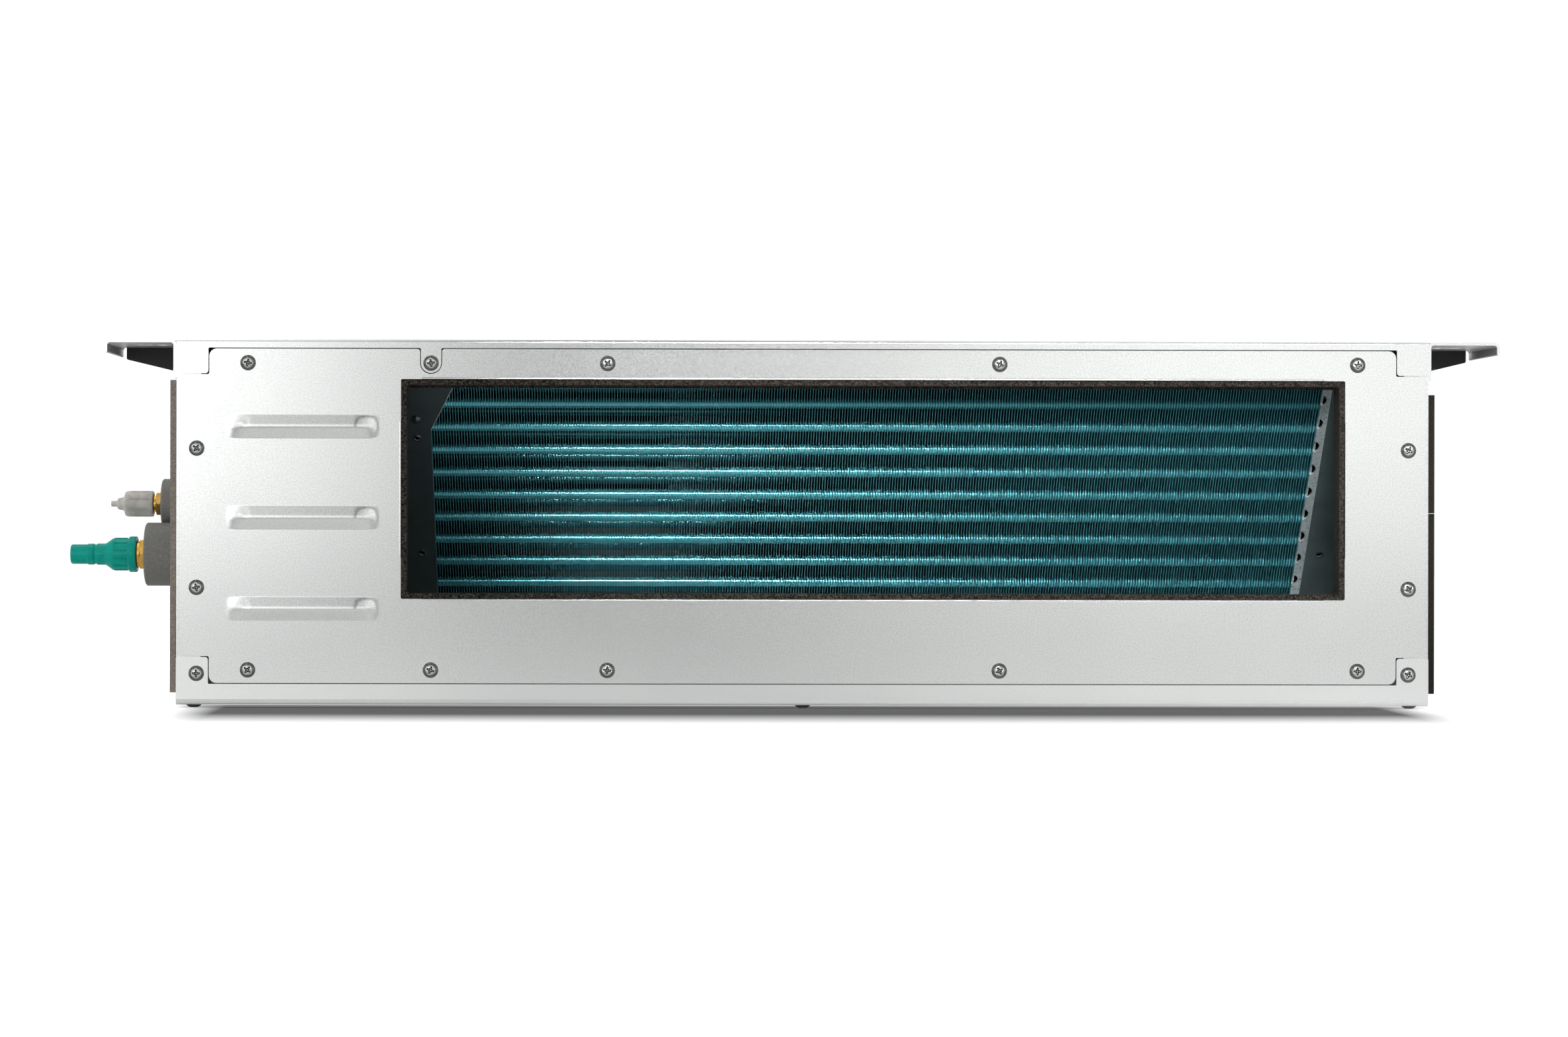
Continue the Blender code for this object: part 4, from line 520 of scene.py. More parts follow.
def flanges(opening, y, inward):
    left, right, low, high = opening
    return [
        turned_in_flange("Z", low + RELIEF * 2, high - RELIEF * 2, left, -1, y, inward),
        turned_in_flange("Z", low + RELIEF * 2, high - RELIEF * 2, right, 1, y, inward),
        turned_in_flange("X", left + RELIEF, right - RELIEF, low, -1, y, inward),
        turned_in_flange("X", left + RELIEF, right - RELIEF, high, 1, y, inward),
    ]


def opening_edge(opening):
    """The hole in the sheet, let out where a flange is turned in and left tight at the corners."""
    left, right, low, high = opening
    out = FLANGE_BEND * 0.9
    short = RELIEF
    tall = RELIEF * 2
    corners = [
        (left, low, 0.001), (left + short, low, 0.0006), (left + short, low - out, 0.0004),
        (right - short, low - out, 0.0004), (right - short, low, 0.0006), (right, low, 0.001),
        (right, low + tall, 0.0006), (right + out, low + tall, 0.0004),
        (right + out, high - tall, 0.0004), (right, high - tall, 0.0006), (right, high, 0.001),
        (right - short, high, 0.0006), (right - short, high + out, 0.0004),
        (left + short, high + out, 0.0004), (left + short, high, 0.0006), (left, high, 0.001),
        (left, high - tall, 0.0006), (left - out, high - tall, 0.0004),
        (left - out, low + tall, 0.0004), (left, low + tall, 0.0006),
    ]
    return rounded(corners, 3)


def ring(u, v, radius, sides=40):
    """A round outline of straight sides."""
    turns = [2 * math.pi * i / sides for i in range(sides)]
    return [Vector((u + radius * math.cos(turn), v + radius * math.sin(turn))) for turn in turns]


def rolled_edges(opening):
    """The bend of each flange stands a hair proud of the face, as it does where thin sheet is turned."""
    left, right, low, high = opening
    y = FRONT + BEAD_SUNK
    upright = (low + RELIEF * 2, high - RELIEF * 2)
    level = (left + RELIEF, right - RELIEF)
    return [
        pressed("Z", [ring(left - BEAD, y, BEAD, 16)], *upright),
        pressed("Z", [ring(right + BEAD, y, BEAD, 16)], *upright),
        pressed("X", [ring(y, low - BEAD, BEAD, 16)], *level),
        pressed("X", [ring(y, high + BEAD, BEAD, 16)], *level),
    ]


def pressed_rib(level):
    """A ridge pressed out of the sheet: steep long sides, a round crest and ends that taper off."""
    shape = bmesh.new()
    columns = 72
    rows = 40
    half_length = RIB_LENGTH / 2 + RIB_MARGIN
    half_width = RIB_WIDTH / 2 + RIB_MARGIN
    grid = []
    for i in range(columns + 1):
        line = []
        for j in range(rows + 1):
            u = (2 * i / columns - 1) * half_length
            v = (2 * j / rows - 1) * half_width
            along = min(1, max(0, (RIB_LENGTH / 2 - abs(u)) / RIB_TAPER))
            across = min(1, max(0, 1 - abs(v) / (RIB_WIDTH / 2)))
            ends = along * along * (3 - 2 * along)
            crest = across ** 0.85 * (1.0 - 0.12 * max(0, across - 0.8) / 0.2)
            lift = RIB_HEIGHT * ends * crest
            line.append(shape.verts.new((RIB_X + u, FRONT - 0.00002 - lift, level + v)))
        grid.append(line)
    for i in range(columns):
        for j in range(rows):
            shape.faces.new((grid[i][j], grid[i + 1][j], grid[i + 1][j + 1], grid[i][j + 1]))
    return as_mesh("rib", shape)


front = together(
    pressed("Y", [panel_edge(True), opening_edge(OPENING)], FRONT, FRONT + SHEET, CUT_EDGE_ROUND),
    *flanges(OPENING, FRONT, 1),
    *rolled_edges(OPENING),
)
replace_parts(link_piece("outlet_sheet", front, ZINC, "casing", 15), "outlet_panel")
ribs = together(*[pressed_rib(level) for level in RIB_LEVELS])
link_piece("stiffening_ribs", ribs, ZINC, "casing", 60)

# Inlet panel: the same galvanised pressing for the rear, notched round the tabs in the same way, with
# a wider opening for the return air.
INLET = (-0.398, 0.398, 0.036, 0.232)
rear = together(
    pressed("Y", [panel_edge(False), opening_edge(INLET)], REAR - SHEET, REAR, CUT_EDGE_ROUND),
    *flanges(INLET, REAR, -1),
)
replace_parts(link_piece("inlet_sheet", rear, ZINC, "casing", 15), "inlet_panel")

# Side panels, the wall between coil and fans, the motor's cradle and clamps and the filter's
# rails: folded galvanised sheet, screwed to the base and the top.


def dress(material, *nodes):
    """A CAD piece whose shape is right keeps it and gets the real finish."""
    for node in nodes:
        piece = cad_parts[node]
        piece.data.materials.clear()
        piece.data.materials.append(material)


dress(
    ZINC, "left_side_panel", "right_side_panel", "fan_deck", "motor_cradle", "left_motor_clamp",
    "right_motor_clamp", "upper_filter_rail", "lower_filter_rail",
)

# Screws: zinc-plated pan heads with a cross recess, driven from outside into the casing's edges and
# the control cover. The recess lies at a chance angle on each.
SCREW_RADIUS = 0.0058
SCREW_RISE = 0.0024
RECESS = 0.0015


def bump(tree, surface, source, strength, distance):
    relief = tree.nodes.new("ShaderNodeBump")
    relief.inputs["Strength"].default_value = strength
    relief.inputs["Distance"].default_value = distance
    tree.links.new(source, relief.inputs["Height"])
    tree.links.new(relief.outputs[0], surface.inputs["Normal"])


def painted_light_screw_finish():
    """Zinc plating with painted light and shade: bright on the crown and dark where the head turns away.
    """
    made, tree, surface = shader("screw_zinc", (0.30, 0.31, 0.30), 0.22, 0.95)
    facing = tree.nodes.new("ShaderNodeTexCoord").outputs["Normal"]
    sizes = joined(tree, "ShaderNodeVectorMath", facing, operation="ABSOLUTE")
    parts = joined(tree, "ShaderNodeSeparateXYZ", sizes).outputs
    larger = joined(tree, "ShaderNodeMath", parts["X"], parts["Y"], operation="MAXIMUM")
    largest = joined(tree, "ShaderNodeMath", parts["Z"], larger, operation="MAXIMUM")
    # Painted light and shade: faces that point straight along an axis, as the crown does, are bright;
    # sloping faces, the rim and the recess walls, are dark.
    tone = ramp(tree, largest.outputs[0], (0.15, 0.155, 0.15), (0.68, 0.69, 0.67), 0.88, 0.985)
    tree.links.new(tone, surface.inputs["Base Color"])
    bump(tree, surface, grain(tree, "ShaderNodeTexNoise", 1200), 0.10, 0.0002)
    return made


def recess_depth(turn, radius, share):
    """How deep the cross is cut at one point of the head, from 0 to 1."""
    arm = abs(math.cos(2 * turn)) ** 6
    if arm <= 0.05 and share >= 0.25:
        return 0
    reach = SCREW_RADIUS * (0.22 + 0.34 * arm)
    return min(1, max(0, 1 - radius / reach) ** 0.4)


def screw_template():
    """A domed head turned about its axis with the cross recess sunk into the middle rings."""
    rings = 11
    sides = 32
    shape = bmesh.new()
    centre = shape.verts.new((0, 0, SCREW_RISE - RECESS))
    previous = None
    for level in range(1, rings + 1):
        share = level / rings
        radius = SCREW_RADIUS * min(1, share * 1.06)
        dome = SCREW_RISE * (1 - (radius / SCREW_RADIUS) ** 3.2) * 0.92 + SCREW_RISE * 0.08
        current = []
        for i in range(sides):
            turn = 2 * math.pi * i / sides
            height = dome - RECESS * recess_depth(turn, radius, share)
            if level == rings:
                height = -0.0002
            current.append(shape.verts.new((radius * math.cos(turn), radius * math.sin(turn), height)))
        if previous is None:
            for i in range(sides):
                shape.faces.new((centre, current[i], current[(i + 1) % sides]))
        else:
            for i in range(sides):
                j = (i + 1) % sides
                shape.faces.new((previous[i], current[i], current[j], previous[j]))
        previous = current
    shape.faces.new(previous[::-1])
    return placed("screw_template", as_mesh("screw", shape))


def socket(tree, name, kind, default=None):
    made = tree.interface.new_socket(name, in_out="INPUT", socket_type=kind)
    if default is not None:
        made.default_value = default
    return made.identifier


def finished(tree, given, copies):
    """The copies made real, in their finish, as what the tree gives out."""
    tree.interface.new_socket("Geometry", in_out="OUTPUT", socket_type="NodeSocketGeometry")
    paint = joined(tree, "GeometryNodeSetMaterial", joined(tree, "GeometryNodeRealizeInstances", copies))
    tree.links.new(given.outputs["Finish"], paint.inputs["Material"])
    joined(tree, "NodeGroupOutput", paint)


def scatter_tree():
    """One head on each point, turned by chance about the point's own Z."""
    tree = bpy.data.node_groups.new("heads_on_points", "GeometryNodeTree")
    tree.interface.new_socket("Geometry", in_out="INPUT", socket_type="NodeSocketGeometry")
    names = {
        "head": socket(tree, "Head", "NodeSocketObject"),
        "finish": socket(tree, "Finish", "NodeSocketMaterial"),
        "size": socket(tree, "Size", "NodeSocketFloat", 1.0),
        "seed": socket(tree, "Seed", "NodeSocketInt", 7),
    }
    node = tree.nodes.new
    link = tree.links.new
    given = node("NodeGroupInput")
    head = node("GeometryNodeObjectInfo")
    turn = node("FunctionNodeRandomValue")
    turn.data_type = "FLOAT_VECTOR"
    turn.inputs["Max"].default_value = (0, 0, math.tau)
    place = node("GeometryNodeInstanceOnPoints")
    link(given.outputs["Head"], head.inputs["Object"])
    link(given.outputs["Seed"], turn.inputs["Seed"])
    link(given.outputs["Geometry"], place.inputs["Points"])
    link(head.outputs["Geometry"], place.inputs["Instance"])
    link(turn.outputs["Value"], place.inputs["Rotation"])
    link(given.outputs["Size"], place.inputs["Scale"])
    finished(tree, given, place)
    return tree, names


heads_on_points, heads_inputs = scatter_tree()
screw = screw_template()
screw_zinc = painted_light_screw_finish()
OUTWARD = {
    "front": Matrix.Rotation(math.pi / 2, 4, "X"),
    "rear": Matrix.Rotation(-math.pi / 2, 4, "X"),
    "base": Matrix.Rotation(math.pi, 4, "X"),
    "right": Matrix.Rotation(math.pi / 2, 4, "Y"),
    "left": Matrix.Rotation(-math.pi / 2, 4, "Y"),
}


def heads(name, places, facing, seed, size=1.0):
    """A head on every place, its top facing out of the casing."""
    turn = OUTWARD[facing]
    points = bpy.data.meshes.new(name)
    points.from_pydata([turn.inverted() @ Vector(place) for place in places], [], [])
    carrier = placed(name, points)
    carrier.matrix_world = turn
    modifier = carrier.modifiers.new("heads", "NODES")
    modifier.node_group = heads_on_points
    modifier[heads_inputs["head"]] = screw
    modifier[heads_inputs["finish"]] = screw_zinc
    modifier[heads_inputs["size"]] = size
    modifier[heads_inputs["seed"]] = seed
    link_piece(name, settled(carrier), screw_zinc, "casing", 50)


SCREW_OUTER = 0.4075
SCREW_INNER = 0.1440
SCREW_COLUMN = 0.445
SCREW_HIGH = HEIGHT - 0.0173
SCREW_LOW = 0.0256
SCREW_ROW = (-SCREW_OUTER, MIDDLE_TAB_X, -SCREW_INNER, SCREW_INNER, SCREW_OUTER)
front_places = [(x, FRONT, z) for z in (SCREW_HIGH, SCREW_LOW) for x in SCREW_ROW]
for x in (-SCREW_COLUMN, SCREW_COLUMN):
    front_places += [(x, FRONT, z) for z in (0.0230, 0.0860, 0.1880)]
heads("front_screws", front_places, "front", 3)
base_places = [(x, y, 0) for x in (-0.448, 0, 0.448) for y in (-0.273, 0.273)]
heads("base_screws", base_places, "base", 5)
rear_places = [(x, REAR, z) for x in (-SCREW_COLUMN, SCREW_COLUMN) for z in (0.0130, HEIGHT - 0.0125)]
heads("rear_screws", rear_places, "rear", 8)
cover_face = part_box("control_cover")[1].x
cover_places = [(cover_face, y, z) for y in (0.016, 0.229) for z in (0.052, 0.208)]
heads("cover_screws", cover_places, "right", 6, 0.8)
side_places = [(-SIDE, y, z) for y in (0.03, 0.255) for z in (0.030, 0.222)]
heads("side_screws", side_places, "left", 9)
bpy.data.objects.remove(screw)

# Opening's lining: a strip of dark open-cell foam stuck round the inside of the flanges, and a
# second, narrow strip that closes the gap between the coil's top edge and the top panel.
COIL_SEAL = (-0.2615, -0.2562, 0.2335, 0.2418)
COIL_SEAL_ENDS = (-0.2912, 0.3942)


def mottled(name, colour, roughness, metallic, pattern, dark, light, spread=(0.3, 0.7)):
    """A finish whose colour drifts between two tones over a pattern."""
    made, tree, surface = shader(name, colour, roughness, metallic)
    tone = ramp(tree, grain(tree, *pattern), dark, light, *spread)
    tree.links.new(tone, surface.inputs["Base Color"])
    return made, tree, surface


def foam(name, light, dark, scale, roughness=0.95):
    cells = ("ShaderNodeTexNoise", scale, 4.0)
    made, tree, surface = mottled(name, light, roughness, 0.0, cells, dark, light, (0.40, 0.66))
    surface.inputs["Specular IOR Level"].default_value = 0.25
    bump(tree, surface, grain(tree, "ShaderNodeTexNoise", scale * 0.8, 4.0), 0.6, 0.0008)
    return made


def block(left, right, low, high, radius=0.0):
    """A four-sided outline with its corners rounded."""
    corners = ((left, low), (right, low), (right, high), (left, high))
    return rounded([(u, v, radius) for u, v in corners])


LINING = foam("lining_foam", (0.080, 0.067, 0.054), (0.003, 0.0026, 0.0022), 900)
dress(LINING, "outlet_lining")
seal = pressed("X", [block(*COIL_SEAL)], *COIL_SEAL_ENDS)
link_piece("coil_seal", seal, LINING, "casing")

# Hanging brackets: thick galvanised strip bent to a hook section, with a keyhole for the hanging
# rod and a braced web at the end nearest the middle of the unit.
BRACKET_ZINC = galvanised("bracket_zinc", (0.62, 0.61, 0.64), (0.52, 0.51, 0.54), 0.50, 0.30)
# The web is the same zinc painted near black: painted shade under the bracket's roof.
WEB_ZINC_PAINTED_SHADE = galvanised("bracket_web_zinc", (0.018, 0.0175, 0.018), (0.013, 0.0125, 0.013), 0.2, 0.45)
BRACKET_SHEET = 0.0023
BRACKET_BEND = 0.0044
BRACKET_LIP = 0.0095
WEB_DEEP = 0.0225
WEB_SHALLOW = 0.0112
WEB_SLIT = 0.0026
KEYHOLE_OUT = 0.0175
KEYHOLE_REACH = 0.0375
KEYHOLE_HALF = 0.0055
KEYHOLE_ROUND = 0.0085


def cut_with(blank, operation, *tools):
    """The blank with each tool's shape cut out of it, or cut down to it; the tools go."""
    for tool in tools:
        modifier = blank.modifiers.new("cut", "BOOLEAN")
        modifier.operation = operation
        modifier.solver = "EXACT"
        modifier.object = tool
    mesh = settled(blank)
    for tool in tools:
        bpy.data.objects.remove(tool)
    return mesh


def bracket(name, side, end):
    """One bracket at the left (-1) or right (1) side and the front (-1) or rear (1) end."""
    low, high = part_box(name)
    t = BRACKET_SHEET
    top_level = high.z
    inner, outer = sorted((abs(low.x), abs(high.x)))
    fold = [
        (inner, low.z, 0.0007),
        (inner, top_level, BRACKET_BEND),
        (outer, top_level, BRACKET_BEND),
        (outer, top_level - BRACKET_LIP, 0.0009),
        (outer - t, top_level - BRACKET_LIP, 0.0009),
        (outer - t, top_level - t, BRACKET_BEND - t),
        (inner + t, top_level - t, BRACKET_BEND - t),
        (inner + t, low.z, 0.0007),
    ]
    web = [
        (inner + t / 2, top_level - WEB_DEEP, 0.0004),
        (outer - t - WEB_SLIT, top_level - WEB_SHALLOW, 0.0014),
        (outer - t - WEB_SLIT, top_level - t / 2, 0),
        (inner + t / 2, top_level - t / 2, 0),
    ]
    sections = [[Vector((side * p.x, p.y)) for p in rounded(corners)] for corners in (fold, web)]
    strip = pressed("Y", [sections[0]], low.y, high.y)
    web_y = high.y - t if end < 0 else low.y
    brace = pressed("Y", [sections[1]], web_y, web_y + t)
    middle = (low.y + high.y) / 2
    hole = side * (SIDE + KEYHOLE_OUT)
    reach = side * (SIDE + KEYHOLE_REACH)
    slot_ends = sorted((hole, reach))
    slot = block(*slot_ends, middle - KEYHOLE_HALF, middle + KEYHOLE_HALF, KEYHOLE_HALF * 0.95)
    punches = [
        placed("punch", pressed("Z", [loop], top_level - 3 * t, top_level + t))
        for loop in (slot, ring(hole, middle, KEYHOLE_ROUND))
    ]
    mesh = cut_with(placed(name + "_blank", strip), "DIFFERENCE", *punches)
    strip_faces = len(mesh.polygons)
    whole = together(mesh, brace)
    piece = link_piece(name + "_pressing", whole, BRACKET_ZINC, "casing")
    whole.materials.append(ZINC)
    whole.materials.append(WEB_ZINC_PAINTED_SHADE)
    # The strip's faces that point along Y, its cut ends, take the paler sheet zinc: partly the bright
    # shear of a cut edge, partly painted light.
    for face in whole.polygons:
        cut = abs(face.normal.y) > 0.9
        face.material_index = 2 if face.index >= strip_faces else int(cut)
    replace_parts(piece, name)


bracket("front_left_hanger", -1, -1)
bracket("front_right_hanger", 1, -1)
bracket("rear_left_hanger", -1, 1)
bracket("rear_right_hanger", 1, 1)

# Foam sheets: closed-cell insulation stuck on both sides against sweating, dusty brown-grey on the
# left and black on the right.
SIDE_FOAM = foam("side_foam", (0.31, 0.27, 0.235), (0.205, 0.178, 0.155), 900)
DARK_FOAM = foam("right_foam", (0.024, 0.020, 0.016), (0.014, 0.012, 0.010), 900)
dress(SIDE_FOAM, "left_side_foam")
dress(DARK_FOAM, "right_lower_foam", "right_upper_foam")

# Coil: a few hundred thin aluminium fins with a blue-green coating, pressed on to copper tubes.
# The collars drawn out of the fins cover the tubes between them.
LEAN = math.atan2(0.1766, 0.1963)
DOWN = Vector((0, math.sin(LEAN), -math.cos(LEAN)))
INTO = Vector((0, math.cos(LEAN), math.sin(LEAN)))
CORNER = Vector((0, -0.255, 0.240))
ROWS = 12
FIRST_ROW = 0.0076
ROW_PITCH = 0.0228
COLUMN_PITCH = 0.018
COIL_LONG = 0.264
COIL_THICK = 2 * COLUMN_PITCH
TUBE_RADIUS = 0.0040
FIN_PITCH = 0.00205
FIN_SHEET = 0.00016
FIN_RIPPLE = 0.00012
FIN_MARGIN = 0.0003
fin_low, fin_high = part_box("fin_block")


def on_coil(x, down, into):
    return Vector((x, 0, 0)) + CORNER + DOWN * down + INTO * into


def fin_coating_painted_light_and_shade():
    """The blue-green coating, painted bright on the fins' edges as light and darker on their sides as
    shade.
    """
    made, tree, surface = shader("fin_coating", (0.04, 0.27, 0.33), 0.34, 0.15)
    drift = grain(tree, "ShaderNodeTexNoise", 60, 3.0)
    tone = ramp(tree, drift, (0.035, 0.23, 0.29), (0.05, 0.31, 0.37), 0.3, 0.7)
    normal = tree.nodes.new("ShaderNodeTexCoord").outputs["Normal"]
    parts = joined(tree, "ShaderNodeSeparateXYZ", normal).outputs
    painted_shade_on_sides = joined(tree, "ShaderNodeMath", parts["X"], operation="ABSOLUTE")
    colour = joined(tree, "ShaderNodeMixRGB", painted_shade_on_sides, (0.20, 0.68, 0.76, 1), tone)
    tree.links.new(colour.outputs[0], surface.inputs["Base Color"])
    return made


fin_coat = fin_coating_painted_light_and_shade()
# The collars take a much brighter copy of the fins' coating: painted light.
lit_collar_coat = mottled(
    "collar_coating", (0.18, 0.78, 0.90), 0.20, 0.40, ("ShaderNodeTexNoise", 80, 3.0),
    (0.15, 0.72, 0.85), (0.21, 0.83, 0.94),
)[0]


def one_fin():
    """A thin plate with the shallow ripple that fins are pressed to."""
    shape = bmesh.new()
    steps = ROWS * 4
    lines = []
    for i in range(steps + 1):
        down = COIL_LONG * i / steps
        wave = FIN_RIPPLE if i % 2 else -FIN_RIPPLE
        across = ((0, 0), (0.25, wave), (0.75, -wave), (1, 0))
        lines.append([on_coil(offset, down, COIL_THICK * share) for share, offset in across])
    sides = []
    for shift in (-FIN_SHEET / 2, FIN_SHEET / 2):
        sides.append([[shape.verts.new(p + Vector((shift, 0, 0))) for p in line] for line in lines])
    for grid, flip in ((sides[0], False), (sides[1], True)):
        for i in range(steps):
            for j in range(3):
                loop = [grid[i][j], grid[i + 1][j], grid[i + 1][j + 1], grid[i][j + 1]]
                shape.faces.new(loop[::-1] if flip else loop)
    low_side, high_side = sides
    for i in range(steps):
        for j, flip in ((0, False), (3, True)):
            loop = [low_side[i][j], high_side[i][j], high_side[i + 1][j], low_side[i + 1][j]]
            shape.faces.new(loop[::-1] if flip else loop)
    for j in range(3):
        for i, flip in ((0, True), (steps, False)):
            loop = [low_side[i][j], high_side[i][j], high_side[i][j + 1], low_side[i][j + 1]]
            shape.faces.new(loop[::-1] if flip else loop)
    bmesh.ops.recalc_face_normals(shape, faces=shape.faces)
    return placed("fin_template", as_mesh("fin", shape))


def row_tree():
    """Copies of one piece in a straight row, at even steps."""
    tree = bpy.data.node_groups.new("row_of_copies", "GeometryNodeTree")
    names = {
        "piece": socket(tree, "Piece", "NodeSocketObject"),
        "count": socket(tree, "Count", "NodeSocketInt", 2),
        "start": socket(tree, "Start", "NodeSocketVector"),
        "step": socket(tree, "Step", "NodeSocketVector"),
        "finish": socket(tree, "Finish", "NodeSocketMaterial"),
    }
    node = tree.nodes.new
    link = tree.links.new
    given = node("NodeGroupInput")
    line = node("GeometryNodeMeshLine")
    info = node("GeometryNodeObjectInfo")
    place = node("GeometryNodeInstanceOnPoints")
    link(given.outputs["Count"], line.inputs["Count"])
    link(given.outputs["Start"], line.inputs["Start Location"])
    link(given.outputs["Step"], line.inputs["Offset"])
    link(given.outputs["Piece"], info.inputs["Object"])
    link(line.outputs[0], place.inputs["Points"])
    link(info.outputs["Geometry"], place.inputs["Instance"])
    finished(tree, given, place)
    return tree, names


row_of_copies, row_inputs = row_tree()


def row(template, count, start, step, finish):
    """The copies as one mesh, and the template goes."""
    holder = placed("row", bpy.data.meshes.new("row"))
    modifier = holder.modifiers.new("row", "NODES")
    modifier.node_group = row_of_copies
    modifier[row_inputs["piece"]] = template
    modifier[row_inputs["count"]] = count
    modifier[row_inputs["start"]] = start
    modifier[row_inputs["step"]] = step
    modifier[row_inputs["finish"]] = finish
    bpy.context.view_layer.update()
    graph = bpy.context.evaluated_depsgraph_get()
    mesh = bpy.data.meshes.new_from_object(holder.evaluated_get(graph))
    bpy.data.objects.remove(holder)
    bpy.data.objects.remove(template)
    return mesh


fin_span = fin_high.x - fin_low.x - 2 * FIN_MARGIN
fin_count = round(fin_span / FIN_PITCH) + 1
fin_step = (fin_span / (fin_count - 1), 0, 0)
fins = row(one_fin(), fin_count, (fin_low.x + FIN_MARGIN, 0, 0), fin_step, fin_coat)
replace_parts(link_piece("fin_pack", fins, fin_coat, "casing", 20), "fin_block")


def tube_along(points, radius, rings=4):
    """A round tube with closed ends that follows a line of points."""
    curve = bpy.data.curves.new("tube", "CURVE")
    curve.dimensions = "3D"
    curve.bevel_depth = radius
    curve.bevel_resolution = rings
    curve.use_fill_caps = True
    spline = curve.splines.new("POLY")
    spline.points.add(len(points) - 1)
    for point, place in zip(spline.points, points):
        point.co = (*place, 1)
    return settled(placed("tube", curve))


def tube_places():
    """Where each tube passes through the fins: how far down the coil and how far into it."""
    for column in range(2):
        for number in range(ROWS):
            yield FIRST_ROW + number * ROW_PITCH, (column + 0.5) * COLUMN_PITCH


collars = [
    tube_along([on_coil(x, *place) for x in (fin_low.x, fin_high.x)], TUBE_RADIUS - 0.00002)
    for place in tube_places()
]
link_piece("fin_collars", together(*collars), lit_collar_coat, "casing")

# Ends of the coil: a galvanised tube sheet at each end, its front flange scalloped between the
# tubes, and a steel plate from there to the side that keeps the air on the fins, its face painted dark
# as the shade it stands in. The left plate laps over the flange and widens into a corner piece at the top.
SHEET_GREY = galvanised("tube_sheet_zinc", (0.78, 0.86, 0.88), (0.66, 0.73, 0.75), 0.60, 0.28)
END_SHEET = 0.0015
END_FLANGE = 0.0078
PLATE_SHEET = 0.0012
END_GAP = 0.0003
BEHIND_FLANGE = 0.0016
RIM = 0.003
SCALLOP = 0.0052
SCALLOP_WIDE = 0.0042
PLATE_SIDE_GAP = 0.0015
PLATE_FOOT = 0.022
HOLE_IN = 0.0106
HOLE_RADIUS = 0.0022
HOLE_SHARES = (0.215, 0.657)
WEDGE_WIDE = 0.0215
WEDGE_LONG = 0.0485
DOME_DOWN = 0.0378
DOME = ((0, -0.0026), (0.0015, -0.0025), (0.0029, -0.0018), (0.0037, -0.0008), (0.0039, 0), (0, 0))
BURR = ((0, 0), (0, -0.0006), (0.0009, -0.0003), (0.0012, 0))
LEANING = Matrix.Translation(CORNER) @ Matrix.Rotation(LEAN, 4, "X")


def plate_in_painted_shade(name, colour):
    drift = ("ShaderNodeTexNoise", 45, 4.0)
    dark = tuple(c * 0.8 for c in colour)
    made, tree, surface = mottled(name, colour, 0.40, 0.0, drift, dark, colour, (0.35, 0.65))
    bump(tree, surface, grain(tree, "ShaderNodeTexNoise", 900), 0.12, 0.0002)
    return made


# The plates' dark greys are painted shade on the steel, a little lighter on the right.
PLATE = plate_in_painted_shade("slate_coating", (0.040, 0.058, 0.062))
RIGHT_PLATE = plate_in_painted_shade("right_slate_coating", (0.080, 0.112, 0.115))
# The plates' cut edges keep a paler grey; the burrs and the domed screw are painted dark as shade.
CUT_EDGE = shader("cut_edge", (0.62, 0.64, 0.64), 0.35, 0.35)[0]
SCREW_IN_PAINTED_SHADE = shader("dark_plated_steel", (0.10, 0.12, 0.125), 0.22, 0.8)[0]


def tube_sheet(name, x, outward):
    """The plate that the tubes pass through and its flange, cut out between the tubes."""
    near = x + outward * END_GAP
    far = x + outward * END_FLANGE
    corners = [(far, RIM), (near, RIM)]
    for number in range(1, ROWS):
        level = -FIRST_ROW - (number - 0.5) * ROW_PITCH
        corners.append((near, level + SCALLOP))
        for step in range(1, 8):
            turn = math.pi * step / 8
            bulge = near + outward * SCALLOP_WIDE * math.sin(turn)
            corners.append((bulge, level + SCALLOP * math.cos(turn)))
        corners.append((near, level - SCALLOP))
    corners += [(near, -COIL_LONG - RIM), (far, -COIL_LONG - RIM)]
    flange = pressed("Y", [[Vector(corner) for corner in corners]], 0, END_SHEET)
    flange.transform(LEANING)
    holes = [ring(*on_coil(0, *place).yz, TUBE_RADIUS + 0.0002, 20) for place in tube_places()]
    outline = block(-RIM, COIL_LONG + RIM, BEHIND_FLANGE, COIL_THICK)
    edge = [on_coil(0, *place).yz for place in outline]
    plate = pressed("X", [edge, *holes], *sorted((near, near + outward * END_SHEET)))
    piece = link_piece(name + "_pressing", together(plate, flange), SHEET_GREY, "casing")
    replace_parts(piece, name)


def turned(profile, place, sides=64, axis="X"):
    """A (radius, distance) profile turned about an axis through a place."""
    mesh = bpy.data.meshes.new("profile")
    edges = [(i, (i + 1) % len(profile)) for i in range(len(profile))]
    if profile[0][0] == 0 and profile[-1][0] == 0:
        edges.pop()
    mesh.from_pydata([(radius, 0, along) for radius, along in profile], edges, [])
    blank = placed("profile", mesh)
    screw_turn = blank.modifiers.new("turn", "SCREW")
    screw_turn.steps = sides
    screw_turn.render_steps = sides
    screw_turn.use_merge_vertices = True
    screw_turn.merge_threshold = 1e-5
    blank.rotation_euler = {"X": (0, math.pi / 2, 0), "Y": (-math.pi / 2, 0, 0)}[axis]
    blank.location = place
    return settled(blank)


